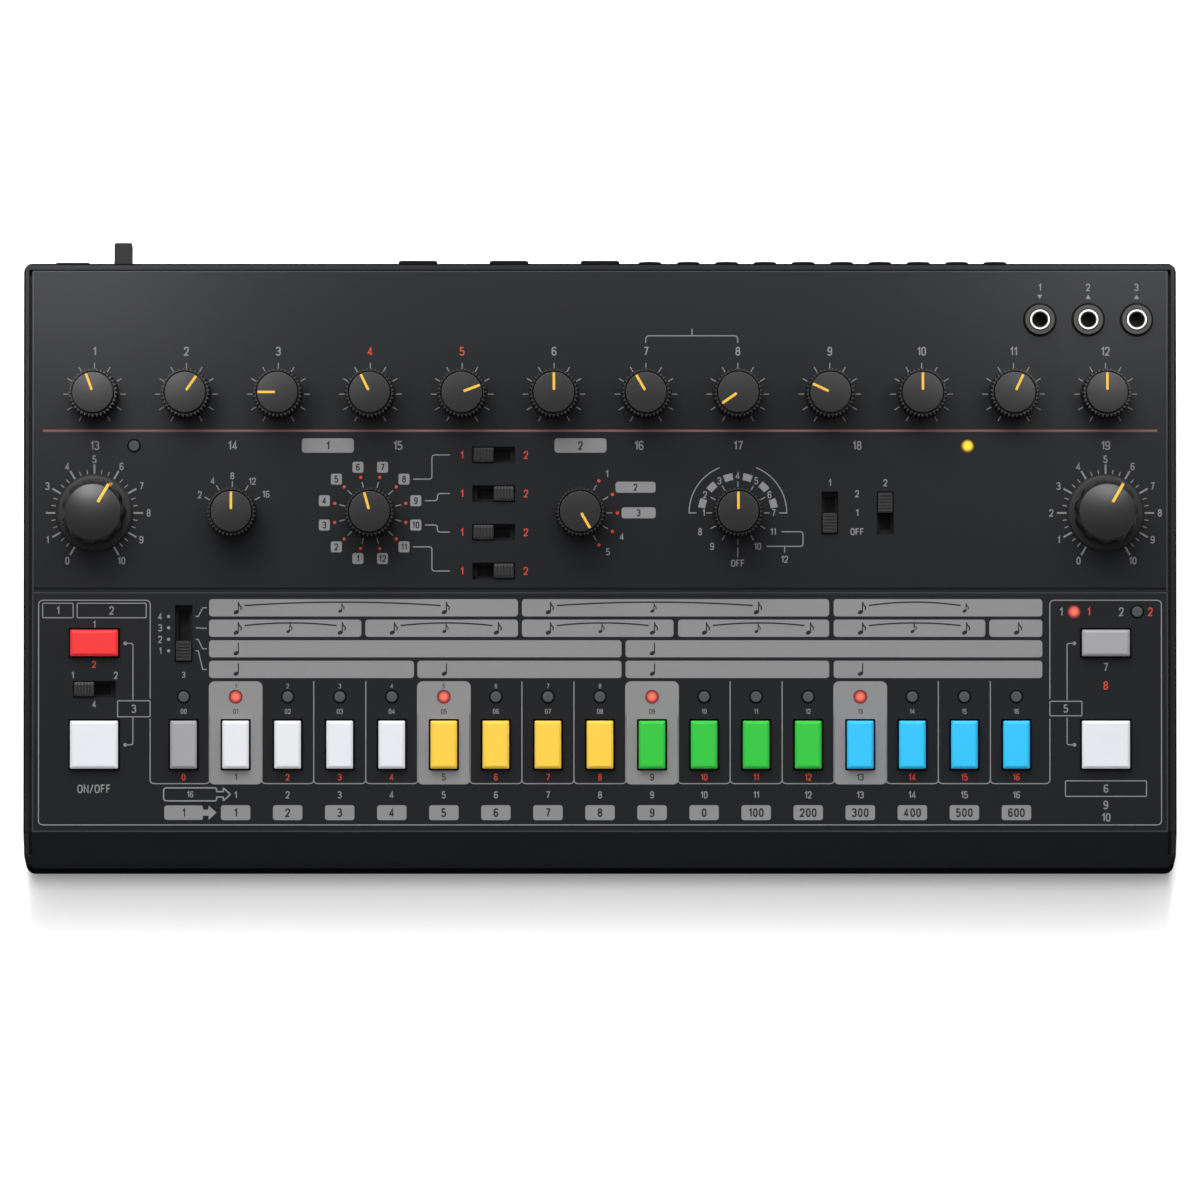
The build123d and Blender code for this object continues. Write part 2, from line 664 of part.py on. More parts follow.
# Tact switches under the buttons and housings of the slide switches
with BuildPart() as panel_switches:
    with BuildSketch(panel.offset(-board_depth)):
        with Locations(*[(x, v) for name, x, v, size in keys]):
            Rectangle(tact_size, tact_size)
    extrude(amount=board_depth + tact_top)
    with BuildSketch(panel.offset(-board_depth)):
        for name, x, v, slot, turn, end in slides:
            with Locations((x, v)):
                Rectangle(slot[0] + 2 * slide_housing_wall[0], slot[1] + 2 * slide_housing_wall[1], rotation=turn)
    extrude(amount=board_depth - cover_thickness - slide_housing_gap)
    with BuildSketch(panel.offset(tact_bore_foot)):
        with Locations(*[(x, v) for name, x, v, size in keys]):
            Circle(plunger_radius + plunger_clearance)
    extrude(amount=tact_top - tact_bore_foot, mode=Mode.SUBTRACT)
    with BuildSketch(panel.offset(lever_cap_foot - slide_floor_gap)):
        for name, x, v, slot, turn, end in slides:
            with Locations((x, v)):
                Rectangle(*slot, rotation=turn)
    extrude(amount=-lever_cap_foot, mode=Mode.SUBTRACT)
    with BuildSketch(panel.offset(lever_stem_foot - slide_floor_gap)):
        for name, x, v, slot, turn, end in slides:
            with Locations((x, v)):
                Rectangle(
                    2 * lever_reach(slot) + lever_stem[0] + 2 * lever_end_gap,
                    lever_stem[1] + 2 * lever_side_gap, rotation=turn)
    extrude(amount=-lever_stem_foot, mode=Mode.SUBTRACT)
finish(panel_switches, "panel_switches")

with BuildPart() as leds:
    with BuildSketch(panel.offset(led_flange_span[0])):
        with Locations(*led_places):
            Circle(led_flange_radius)
    extrude(amount=led_flange_span[1] - led_flange_span[0])
    with BuildSketch(panel.offset(led_flange_span[0])):
        with Locations(*led_places):
            Circle(led_radius)
    extrude(amount=led_rise - led_flange_span[0])
    fillet(leds.edges().group_by(outward)[-1], led_dome_radius)
    with BuildSketch(panel.offset(-board_depth)):
        for x, v in led_places:
            with Locations((x - led_leg_spread, v), (x + led_leg_spread, v)):
                Rectangle(led_leg, led_leg)
    extrude(amount=board_depth + led_flange_span[0])
finish(leds, "leds")


def rear_bodies(places, size, rise):
    """Socket bodies that stand on the main board behind the rear wall; size is width and length."""
    height = socket_height + rise - main_board_top
    with BuildSketch(rear_face.offset(rear_wall + wall_seat_gap)) as ends:
        with Locations(*[(x, main_board_top + height / 2) for x in places]):
            Rectangle(size[0], height)
    extrude(ends.sketch, amount=size[1])


def round_step(face, places, radius, start, length, mode=Mode.ADD):
    """Round bars or bores from `start` along the normal of `face`."""
    with BuildSketch(face.offset(start)) as rounds:
        with Locations(*places):
            Circle(radius)
    extrude(rounds.sketch, amount=length, mode=mode)


# Everything that is plugged into: rear sockets, the three panel sockets and the power button's guide
into_panel = Plane(origin=panel.origin, x_dir=panel.x_dir, z_dir=-panel.z_dir)   # its y runs down the slope
panel_jack_points = [(x, -v) for x, v in panel_jacks]
rear_jack_points = [(x, socket_height) for x in rear_jacks]
large_jack_points = [(x, socket_height) for x in large_jacks]
small_jacks = ((into_panel, panel_jack_points, jack_barrel_rise), (rear_face, rear_jack_points, rear_jack_barrel_rise))
din_points = [(x, socket_height) for x in din_places]
din_pins = [(x + din_pin_circle * cos(radians(a)), socket_height + din_pin_circle * sin(radians(a)))
            for x in din_places for a in (0, 45, 90, 135, 180)]
with BuildPart() as sockets:
    with BuildSketch(into_panel.offset(cover_thickness + wall_seat_gap)):
        with Locations(*panel_jack_points):
            Rectangle(jack_body_width, jack_body_width)
    extrude(amount=board_depth - cover_thickness - wall_seat_gap)
    rear_bodies(rear_jacks, (jack_body_width, jack_body_length), small_body_rise)
    rear_bodies(large_jacks, large_jack_body, large_body_rise)
    rear_bodies(din_places, din_body, din_body_rise)
    rear_bodies([usb_x], (usb_shell[0], usb_depth - rear_wall), usb_shell[1] / 2)
    rear_bodies([dc_x], dc_body, dc_body_rise)
    rear_bodies([power_x], (power_guide, power_guide_length), power_guide_rise)
    for face, points, rise in small_jacks:
        round_step(face, points, jack_barrel_radius, -rise, rise + rear_wall + wall_seat_gap)
    round_step(rear_face, large_jack_points, large_jack_barrel_radius, -rear_jack_barrel_rise,
               rear_jack_barrel_rise + rear_wall + wall_seat_gap)
    round_step(rear_face, din_points, din_face_radius, 0, rear_wall + wall_seat_gap)
    with BuildSketch(rear_face.offset(-usb_proud)):
        with Locations((usb_x, socket_height)):
            Rectangle(*usb_shell)
    extrude(amount=usb_proud + rear_wall + wall_seat_gap)
    with BuildSketch(rear_face.offset(-dc_flange_proud)):
        with Locations((dc_x, socket_height)):
            Rectangle(*dc_flange)
    extrude(amount=dc_flange_proud + rear_wall + wall_seat_gap)
    round_step(into_panel, panel_jack_points, jack_bore_radius, -jack_barrel_rise,
               jack_barrel_rise + board_depth - wall_seat_gap, Mode.SUBTRACT)
    round_step(rear_face, rear_jack_points, jack_bore_radius, -rear_jack_barrel_rise,
               rear_jack_barrel_rise + jack_bore_depth, Mode.SUBTRACT)
    round_step(rear_face, large_jack_points, large_jack_bore_radius, -rear_jack_barrel_rise,
               rear_jack_barrel_rise + large_jack_bore_depth, Mode.SUBTRACT)
    round_step(rear_face, din_points, din_core_radius, 0, din_ring_depth, Mode.SUBTRACT)
    round_step(rear_face, din_points, din_core_radius - din_core_gap, rear_wall, din_ring_depth - rear_wall)
    round_step(rear_face, din_pins, din_pin_radius, rear_wall, din_ring_depth - rear_wall, Mode.SUBTRACT)
    with BuildSketch(rear_face.offset(-usb_proud)):
        with Locations((usb_x, socket_height)):
            Rectangle(usb_shell[0] - 2 * usb_wall, usb_shell[1] - 2 * usb_wall)
    extrude(amount=usb_proud + usb_depth - usb_back_wall, mode=Mode.SUBTRACT)
    with BuildSketch(rear_face.offset(rear_wall)):
        with Locations((usb_x, socket_height)):
            Rectangle(*usb_tongue)
    extrude(amount=usb_depth - rear_wall)
    round_step(rear_face, [(dc_x, socket_height)], dc_bore_radius, -dc_flange_proud,
               dc_flange_proud + dc_bore_depth, Mode.SUBTRACT)
    round_step(rear_face, [(dc_x, socket_height)], dc_pin_radius, 0, dc_bore_depth)
    with BuildSketch(rear_face.offset(rear_wall)):
        with Locations((power_x, socket_height)):
            Rectangle(power_cap + 2 * power_clearance, power_cap + 2 * power_clearance)
    extrude(amount=power_cap_inner + power_travel - rear_wall + seat_gap, mode=Mode.SUBTRACT)
finish(sockets, "sockets")

# Washers and nuts on the panel sockets, square collars on the rear ones
with BuildPart() as jack_nuts:
    round_step(into_panel, panel_jack_points, jack_washer_radius, -jack_washer_thickness, jack_washer_thickness)
    round_step(into_panel, panel_jack_points, jack_nut_radius, -jack_washer_thickness - jack_nut_thickness,
               jack_nut_thickness)
    round_step(into_panel, panel_jack_points, jack_barrel_radius + shaft_fit, -jack_barrel_rise, jack_barrel_rise,
               Mode.SUBTRACT)
    for points, size, proud, barrel_radius in (
            (rear_jack_points, rear_collar_size, rear_collar_proud, jack_barrel_radius),
            (large_jack_points, large_collar_size, large_collar_proud, large_jack_barrel_radius)):
        with BuildSketch(rear_face.offset(-proud)):
            with Locations(*points):
                RectangleRounded(size, size, collar_corner_radius)
        extrude(amount=proud)
        round_step(rear_face, points, barrel_radius + shaft_fit, -proud, proud, Mode.SUBTRACT)
finish(jack_nuts, "jack_nuts")


def toothed_outline(tip, root, count):
    """Corners of a ring of pointed teeth."""
    step = radians(180 / count)
    radii = (tip, root) * count
    return [(radius * sin(step * i), radius * cos(step * i)) for i, radius in enumerate(radii)]


def shaft_bore(place):
    with BuildSketch(place.offset(knob_lift)) as bore:
        Circle(shaft_radius + shaft_fit)
    extrude(bore.sketch, amount=shaft_top + shaft_fit - knob_lift, mode=Mode.SUBTRACT)


def shaft(place):
    with BuildSketch(place.offset(shaft_foot)) as foot:
        Circle(shaft_radius)
    extrude(foot.sketch, amount=shaft_top - shaft_foot)


def small_knob(name, x, v, turn):
    """Toothed skirt, flat cap with an inlaid pointer, and the shaft that carries them."""
    place = seat(x, v, turn)
    pointer_length = knob_cap_radius - knob_cap_chamfer - pointer_margin - pointer_start
    with BuildPart() as knob:
        with BuildSketch(place.offset(knob_lift)):
            Polygon(*toothed_outline(knob_tip_radius, knob_root_radius, knob_tooth_count), align=None)
        extrude(amount=knob_skirt_top - knob_lift)
        with BuildSketch(place.offset(knob_skirt_top)):
            Circle(knob_neck_radius)
        extrude(amount=knob_neck_height)
        with BuildSketch(place.offset(knob_skirt_top + knob_neck_height)):
            Circle(knob_cap_radius)
        extrude(amount=knob_top - knob_skirt_top - knob_neck_height)
        chamfer(knob.edges().group_by(outward)[-1], knob_cap_chamfer)
        with BuildSketch(place.offset(knob_top)):
            with Locations((0, pointer_start + pointer_length / 2)):
                Rectangle(pointer_width, pointer_length)
        extrude(amount=-pointer_depth, mode=Mode.SUBTRACT)
        shaft_bore(place)
        shaft(place)
        with BuildSketch(place.offset(knob_top)):
            with Locations((0, pointer_start + pointer_length / 2)):
                Rectangle(pointer_width - 2 * shaft_fit, pointer_length - 2 * shaft_fit)
        extrude(amount=shaft_fit - pointer_depth)
    finish(knob, name)


def large_knob(name, x, v, turn):
    """Disc skirt, scalloped grip and domed cap on a shaft."""
    place = seat(x, v, turn)
    with BuildPart() as knob:
        with BuildSketch(place.offset(knob_lift)):
            Circle(dial_skirt_radius)
        extrude(amount=dial_skirt_top - knob_lift)
        with BuildSketch(place.offset(dial_skirt_top)):
            Circle(dial_grip_radius)
            with PolarLocations(dial_scallop_place, dial_lobe_count):
                Circle(dial_scallop_radius, mode=Mode.SUBTRACT)
        extrude(amount=dial_grip_top - dial_skirt_top)
        with BuildSketch(place.offset(dial_grip_top)):
            Circle(dial_cap_radius)
        extrude(amount=dial_dome_rise)
        fillet(knob.edges().group_by(outward)[-1], dial_dome_rise * dial_dome_share)
        shaft_bore(place)
        shaft(place)
    finish(knob, name)


for i, turn in enumerate(level_pointers):
    small_knob(f"level_knob_{i + 1:02d}", *level_places[i], turn)
for (name, column, turn), place in zip(selectors, selector_places):
    small_knob(name, *place, turn)
for name, place in zip(("tempo_knob", "volume_knob"), large_places):
    large_knob(name, *place, dial_pointer)


def push_button(name, x, v, size):
    """Cap with a rim under the cover, a stem, and the plunger of the tact switch below."""
    place = seat(x, v)
    flange_top = -cover_thickness - key_flange_gap
    with BuildPart() as key:
        with BuildSketch(place.offset(flange_top - key_flange_thickness)):
            Rectangle(size[0] + 2 * key_flange, size[1] + 2 * key_flange)
        extrude(amount=key_flange_thickness)
        with BuildSketch(place.offset(flange_top)):
            Rectangle(*size)
        extrude(amount=key_rise - flange_top)
        chamfer(key.edges().group_by(outward)[-1], key_chamfer)
        with BuildSketch(place.offset(plunger_top + shaft_fit)):
            Circle(key_stem_radius)
        extrude(amount=flange_top - key_flange_thickness - plunger_top - shaft_fit)
        with BuildSketch(place.offset(plunger_foot)):
            Circle(plunger_radius)
        extrude(amount=plunger_top - plunger_foot)
    finish(key, name)


def slide_lever(name, x, v, slot, turn, end):
    """Ribbed lever in its slot, with the narrow stem that moves the contact below."""
    place = seat(x + end * lever_reach(slot) * cos(radians(turn)), v + end * lever_reach(slot) * sin(radians(turn)),
                 -turn)
    width = slot[1] - 2 * lever_side_gap
    with BuildPart() as lever:
        with BuildSketch(place.offset(lever_cap_foot)):
            Rectangle(lever_length, width)
        extrude(amount=lever_rise - lever_cap_foot)
        with BuildSketch(place.offset(lever_rise)):
            with GridLocations(lever_length / lever_rib_count, 0, lever_rib_count - 1, 1):
                Rectangle(lever_length / lever_rib_count / 2, width)
        extrude(amount=-lever_rib_depth, mode=Mode.SUBTRACT)
        with BuildSketch(place.offset(lever_stem_foot)):
            Rectangle(*lever_stem)
        extrude(amount=lever_cap_foot - lever_stem_foot)
    finish(lever, name)


for key in keys:
    push_button(*key)
for slide in slides:
    slide_lever(*slide)

with BuildPart() as power_button:
    with BuildSketch(rear_face.offset(-power_cap_proud)):
        with Locations((power_x, socket_height)):
            Rectangle(power_cap, power_cap)
    extrude(amount=power_cap_proud + power_cap_inner)
    chamfer(power_button.edges().group_by(Axis.Y)[-1], power_cap_chamfer)
finish(power_button, "power_button")
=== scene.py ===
"""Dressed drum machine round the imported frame: knobs, keys, levers, lamps, sockets and the printed panel.

Shapes are drawn in millimetres. On the panel a place is x to the right, v up the slope from the front
crease and h out of the panel; panel_place() and rear_place() set a shape there in metres.
"""
import bmesh
import bpy
from math import cos, hypot, pi, radians, sin, sqrt
from mathutils import Matrix, Vector


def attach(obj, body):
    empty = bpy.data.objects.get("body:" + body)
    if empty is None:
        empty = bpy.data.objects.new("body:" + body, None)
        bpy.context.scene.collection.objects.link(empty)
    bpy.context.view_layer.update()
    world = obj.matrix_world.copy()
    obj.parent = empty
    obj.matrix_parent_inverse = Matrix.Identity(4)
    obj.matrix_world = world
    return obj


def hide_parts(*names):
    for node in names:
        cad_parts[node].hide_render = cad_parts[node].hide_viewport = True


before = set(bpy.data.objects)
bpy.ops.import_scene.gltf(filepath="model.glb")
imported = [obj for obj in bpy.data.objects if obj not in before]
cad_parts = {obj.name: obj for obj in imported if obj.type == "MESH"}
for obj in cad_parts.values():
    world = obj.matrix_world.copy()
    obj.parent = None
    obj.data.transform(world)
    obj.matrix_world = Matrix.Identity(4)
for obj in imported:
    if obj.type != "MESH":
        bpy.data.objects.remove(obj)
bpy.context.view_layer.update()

# Frame of the panel and of the rear face, in millimetres
MM = 0.001
SLOPE = radians(10)
CREASE = (0, -74.555, 21.0)
REAR_Y = 73.955
SOCKET_Z = 33.04

# Rows up the slope and columns
KNOB_PITCH = 24.32
LEVEL_ROW = 116.1
CONTROL_ROW = 84.65
KEY_PITCH = 13.764
KEY_ROW = 23.3
OBLONG_ROW = 50.2
SIDE_X = 133.76
LED_ROW = 36.0
MEASURE_X, INSTRUMENT_X, PATTERN_X, VARIATION_X = -97.28, -60.8, -5.2, 36.48
MODE_X = -28.14
FILL_X, CYCLE_X = 60.8, 75.49
COVER_HALF = 150.0
STEPS = 16
FUNCTION_X = -KEY_PITCH * STEPS / 2
PANEL_JACKS, PANEL_JACK_ROW = [129.2 + 12.8 * i for i in (-1, 0, 1)], 135.8
REAR_JACKS, LARGE_REAR_JACKS = [13.26 + 10.18 * i for i in range(10)], [-24.15 * i for i in range(3)]
LEVEL_KNOBS = [KNOB_PITCH * (i - 5.5) for i in range(12)]


def step_x(number):
    """Column of a step by its number, from 1; 0 is the function key's."""
    return KEY_PITCH * (number - STEPS / 2)


def around(x, v, reach, degrees):
    """Place on a circle; angles run clockwise from the rear."""
    return x + reach * sin(radians(degrees)), v + reach * cos(radians(degrees))


# ---------------------------------------------------------------- materials
def rgb(*screen):
    """Linear colour of an 8-bit screen colour."""
    parts = [part / 255 for part in screen]
    return tuple(part / 12.92 if part <= 0.04045 else ((part + 0.055) / 1.055) ** 2.4 for part in parts) + (1.0,)


class Tree:
    """Short hand for building a node tree."""

    def __init__(self, tree):
        self.tree = tree

    def put(self, socket, value):
        """Links an input to another node's output, or sets its value."""
        if isinstance(value, bpy.types.NodeSocket):
            self.tree.links.new(value, socket)
        else:
            socket.default_value = value

    def fill(self, node, **values):
        """Sets a node: small names are its settings, capital ones its inputs, with underscores for spaces."""
        for key, value in sorted(values.items(), key=lambda item: item[0][0].isupper()):
            if key[0].isupper():
                self.put(node.inputs[key.replace("_", " ")], value)
            else:
                setattr(node, key, value)
        return node

    def node(self, kind, **values):
        return self.fill(self.tree.nodes.new(kind), **values)

    def math(self, operation, *values, clamp=False):
        made = self.node("ShaderNodeMath", operation=operation, use_clamp=clamp)
        for socket, value in zip(made.inputs, values):
            self.put(socket, value)
        return made.outputs[0]

    def vector(self, **parts):
        return self.node("ShaderNodeCombineXYZ", **parts).outputs["Vector"]

    def place(self):
        return self.node("ShaderNodeTexCoord").outputs["Object"]

    def ramp(self, value, stops):
        """Colour ramp over (position, colour) stops."""
        made = self.node("ShaderNodeValToRGB", Fac=value)
        elements = made.color_ramp.elements
        for i, (position, colour) in enumerate(stops):
            stop = elements[i] if i < 2 else elements.new(1.0)
            stop.position, stop.color = position, colour
        return made.outputs["Color"]


def group(name, inputs, outputs):
    """Empty shader group with float inputs (name: default) and outputs."""
    made = bpy.data.node_groups.new(name, "ShaderNodeTree")
    for key, value in inputs.items():
        made.interface.new_socket(key, in_out="INPUT", socket_type="NodeSocketFloat").default_value = value
    for key in outputs:
        made.interface.new_socket(key, in_out="OUTPUT", socket_type="NodeSocketFloat")
    tree = Tree(made)
    return made, tree, tree.node("NodeGroupInput").outputs, tree.node("NodeGroupOutput").inputs


def make_grain():
    """Spark-eroded mould texture: fine pits with a slow drift in tone."""
    made, tree, given, result = group("mould_grain", {"Grain Size": 0.35, "Drift Size": 18.0}, ("Height", "Tone"))
    place = tree.place()
    grains, drifts = (tree.math("DIVIDE", 1 / MM, given[size]) for size in ("Grain Size", "Drift Size"))
    fine = tree.node("ShaderNodeTexNoise", Vector=place, Scale=grains, Detail=2.0, Roughness=0.6).outputs["Fac"]
    pits = tree.node("ShaderNodeTexVoronoi", Vector=place, Scale=grains).outputs["Distance"]
    drift = tree.node("ShaderNodeTexNoise", Vector=place, Scale=drifts, Detail=3.0, Roughness=0.5).outputs["Fac"]
    for key, parts in (("Height", ((fine, 0.6), (pits, 0.4))), ("Tone", ((drift, 0.7), (fine, 0.3)))):
        tree.put(result[key], tree.math("ADD", *(tree.math("MULTIPLY", *part) for part in parts)))
    return made


def make_handling():
    """Mask of faint polish where fingers rub: patches broken up by fine scuffs."""
    made, tree, given, result = group(
        "handling_polish", {"Patch Size": 9.0, "Scuff Size": 0.9, "Cover": 0.5}, ("Mask",))
    place = tree.place()
    patches, scuffs = (
        tree.node("ShaderNodeTexNoise", Vector=place, Scale=tree.math("DIVIDE", 1 / MM, given[size]), Detail=detail,
                  Roughness=roughness).outputs["Fac"]
        for size, detail, roughness in (("Patch Size", 2.0, 0.5), ("Scuff Size", 4.0, 0.7)))
    rubbed = tree.math("SUBTRACT", patches, tree.math("SUBTRACT", 1.0, given["Cover"]))
    rubbed = tree.math("MULTIPLY", rubbed, 3.0, clamp=True)
    tree.put(result["Mask"], tree.math("MULTIPLY", rubbed, scuffs, clamp=True))
    return made


GRAIN = make_grain()
HANDLING = make_handling()
ROUGHNESS_SPREAD = 0.04


def surface(name, colour, roughness, grain, depth, drift, tone, specular=0.5, polish=0.0, metallic=0.0, coat=0.0):
    """Principled material whose colour, roughness and relief come from the shared grain and polish groups.

    colour is the screen's, grain, depth and drift are in mm, tone is the share by which the colour varies and
    polish how much smoother the rubbed patches are.
    """
    material = bpy.data.materials.new(name)
    material.use_nodes = True
    tree = Tree(material.node_tree)
    texture = tree.node("ShaderNodeGroup", node_tree=GRAIN, Grain_Size=grain, Drift_Size=drift).outputs
    rubbed = tree.node("ShaderNodeGroup", node_tree=HANDLING).outputs["Mask"]
    low, high = ([min(1.0, part * share) for part in rgb(*colour)[:3]] + [1.0] for share in (1 - tone, 1 + tone))
    mix = tree.node("ShaderNodeMix", data_type="RGBA", Factor=texture["Tone"], A=low, B=high)
    spread = tree.node("ShaderNodeMapRange", Value=texture["Height"], To_Min=roughness + ROUGHNESS_SPREAD,
                       To_Max=roughness - ROUGHNESS_SPREAD).outputs["Result"]
    bump = tree.node("ShaderNodeBump", Strength=1.0, Distance=depth * MM, Height=texture["Height"])
    tree.fill(material.node_tree.nodes["Principled BSDF"], Metallic=metallic, Coat_Weight=coat,
              Specular_IOR_Level=specular, Base_Color=mix.outputs["Result"], Normal=bump.outputs["Normal"],
              Roughness=tree.math("SUBTRACT", spread, tree.math("MULTIPLY", rubbed, polish)))
    return material


# Name, colour, roughness, grain, depth, drift, tone, then specular, polish, metallic and coat where they differ
MOULDED = 0.35, 0.012, 40, 0.1
LOOKS = [
    ("cover_plastic", (28, 29, 32), 0.4, 0.3, 0.008, 40, 0.08, 0.16),
    ("edge_plastic", (36, 37, 39), 0.8, *MOULDED, 0.0),
    # Lighter than the cover: a painted highlight on the panel's own edges in the side grooves.
    ("groove_edge_highlight", (62, 63, 65), 0.7, *MOULDED, 0.1),
    ("gasket_plastic", (29, 30, 31), 0.7, *MOULDED, 0.05),
    # Lighter than the tub: a painted highlight on the front shoulders.
    ("shoulder_highlight", (51, 52, 54), 0.8, *MOULDED, 0.0),
    ("tub_plastic", (25, 26, 28), 0.5, 0.35, 0.012, 30, 0.1, 0.2),
    ("wall_plastic", (21, 22, 23), 0.6, *MOULDED, 0.12),
    # Near black, darker than the tub and cover: painted shade on the roundings, the low front and the lip's foot.
    ("painted_shade_plastic", (13, 13, 14), 0.85, *MOULDED, 0.0),
    ("foot_rubber", (24, 24, 24), 0.85, 0.7, 0.05, 18, 0.2, 0.3),
    ("screw_steel", (190, 190, 192), 0.32, 0.25, 0.01, 18, 0.08, 0.5, 0.0, 1.0),
    ("board_laminate", (24, 78, 44), 0.35, 1.6, 0.01, 6, 0.3, 0.5, 0.0, 0.0, 0.4),
    # Black of the components and socket bodies; on the keys' carriers and the slide switches' housings it is painted
    # shade, so that the gaps round the keys and the switch slots read black.
    ("component_black", (11, 11, 12), 0.5, 0.3, 0.01, 18, 0.15, 0.25),
    # Near black: the power button's own colour, and painted shade on the knobs' cores, grips and the step round the
    # dome.
    ("knob_plastic", (12, 12, 13), 0.5, 0.22, 0.008, 9, 0.1, 0.2, 0.1),
    # Teeth lighter than the cap and core of the same knob: a painted highlight on the teeth.
    ("tooth_highlight_plastic", (42, 42, 43), 0.4, 0.3, 0.01, 4, 0.15, 0.35, 0.1),
    ("skirt_plastic", (33, 31, 32), 0.5, 0.25, 0.01, 9, 0.12, 0.3, 0.1),
    ("cap_plastic", (31, 31, 32), 0.42, 0.2, 0.005, 7, 0.05, 0.36, 0.05),
    # Lighter than the cap: a painted highlight round the cap's rounded edge.
    ("cap_edge_highlight", (62, 62, 64), 0.3, 0.3, 0.002, 5, 0.06),
    ("dome_plastic", (28, 28, 29), 0.38, 0.2, 0.002, 9, 0.06, 0.5, 0.05),
    ("pointer_paint", (246, 188, 62), 0.5, 0.25, 0.006, 3, 0.04, 0.3),
    ("pointer_seat", (52, 36, 12), 0.6, 0.25, 0.006, 3, 0.1),
    ("edge_paint", (172, 116, 28), 0.5, 0.25, 0.008, 3, 0.08),
    ("lever_plastic", (46, 46, 47), 0.5, 0.22, 0.01, 4, 0.1, 0.3, 0.12),
    ("nickel", (172, 171, 167), 0.36, 0.3, 0.002, 18, 0.05, 0.5, 0.0, 1.0),
    ("nut_metal", (38, 37, 35), 0.5, 0.3, 0.008, 18, 0.15, 0.5, 0.0, 0.15),
    # Black of the washers and rear collars, and painted shade in the thin dark rings on the barrels' ends.
    ("washer_black_and_shade", (7, 7, 8), 0.55, 0.3, 0.004, 18, 0.1, 0.08),
    ("grey_ink", (137, 137, 138), 0.62, 0.16, 0.004, 5, 0.04, 0.2),
    ("rule_ink", (134, 90, 84), 0.62, 0.16, 0.004, 5, 0.05, 0.2),
    ("red_ink", (204, 72, 54), 0.62, 0.16, 0.004, 5, 0.05, 0.2),
    ("dark_ink", (34, 34, 36), 0.62, 0.16, 0.004, 5, 0.06, 0.2),
    # Light lines along the cover's edges: painted highlights.
    ("edge_highlight_line", (62, 63, 66), 0.5, 0.3, 0.004, 5, 0.05, 0.2)]
LOOKS += [("key_" + shade, colour, 0.42, 0.25, 0.004, 8, 0.02, 0.35, 0.08) for shade, colour in (
    ("white", (229, 230, 235)), ("yellow", (255, 207, 70)), ("green", (48, 196, 62)), ("blue", (46, 196, 250)),
    ("grey", (160, 159, 164)), ("red", (242, 48, 50)))]
looks = {row[0]: surface(*row) for row in LOOKS}


def lamp_surface(name, glow, *tones):
    """Lens with (reach, colour) tones from its middle to its rim, by the mesh's own `reach` values; glow is the
    share of the tone that it gives off by itself."""
    material = looks[name] = surface(name, tones[0][1], 0.6, 0.4, 0.004, 2, 0.05, 0.12)
    tree = Tree(material.node_tree)
    reach = tree.node("ShaderNodeAttribute", attribute_name="reach").outputs["Fac"]
    base, given_off = (tree.ramp(reach, [(place, [part * share for part in rgb(*colour)[:3]] + [1.0])
                                         for place, colour in tones]) for share in (1 - glow, glow))
    tree.fill(material.node_tree.nodes["Principled BSDF"], Base_Color=base, Emission_Color=given_off,
              Emission_Strength=1.0 if glow else 0.0)
    return tree


lamp_surface("lamp_red", 0.85, (0.2, (250, 130, 102)), (0.5, (246, 114, 98)), (0.7, (224, 94, 86)),
             (0.86, (190, 82, 75)), (1.0, (140, 56, 52)))
lamp_surface("lamp_yellow", 0.85, (0.35, (250, 244, 62)), (0.55, (248, 233, 64)), (0.7, (244, 218, 77)),
             (0.86, (212, 180, 74)), (1.0, (140, 104, 40)))


def make_unlit_lens():
    """Unlit lens: milky grey with the fine crossed facets of its inner face, darker towards its rim as painted shade.
    """
    tree = lamp_surface("lamp_off", 0.0, (0.5, (77, 78, 80)), (0.78, (82, 83, 85)), (0.9, (68, 69, 71)),
                        (1.0, (40, 41, 42)))
    nodes = tree.tree.nodes
    turned_place = tree.node("ShaderNodeMapping", Rotation=(0, 0, radians(40)), Vector=tree.place()).outputs["Vector"]
    bands = [tree.node("ShaderNodeTexWave", wave_type="BANDS", bands_direction=way, Scale=620.0,
                       Vector=turned_place).outputs["Fac"] for way in ("X", "Y")]
    bump = tree.node("ShaderNodeBump", Strength=0.6, Distance=0.06 * MM, Height=tree.math("MULTIPLY", *bands),
                     Normal=nodes["Bump"].outputs["Normal"])
    tree.fill(nodes["Principled BSDF"], Normal=bump.outputs["Normal"])


make_unlit_lens()


# ---------------------------------------------------------------- placing and building
def panel_place(x=0.0, v=0.0, h=0.0, turn=0.0):
    """Matrix from local millimetres to the panel; turn is in degrees clockwise from the rear."""
    return (Matrix.Scale(MM, 4) @ Matrix.Translation(CREASE) @ Matrix.Rotation(SLOPE, 4, "X")
            @ Matrix.Translation((x, v, h)) @ Matrix.Rotation(-radians(turn), 4, "Z"))


def rear_place(x):
    """Matrix from local millimetres to the rear face, with local z pointing out of the case."""
    return (Matrix.Scale(MM, 4) @ Matrix.Translation((x, REAR_Y, SOCKET_Z))
            @ Matrix.Rotation(-pi / 2, 4, "X"))


def skin(form, rings, finish=0, closed=False):
    """Joins rings of points that run the same way round; open stacks are capped at both ends."""
    loops = [[form.verts.new(point) for point in ring] for ring in rings]
    for lower, upper in zip(loops, loops[1:] + (loops[:1] if closed else [])):
        for i, corner in enumerate(lower):
            j = (i + 1) % len(lower)
            form.faces.new((corner, lower[j], upper[j], upper[i])).material_index = finish
    if not closed:
        form.faces.new(loops[0][::-1]).material_index = finish
        form.faces.new(loops[-1]).material_index = finish


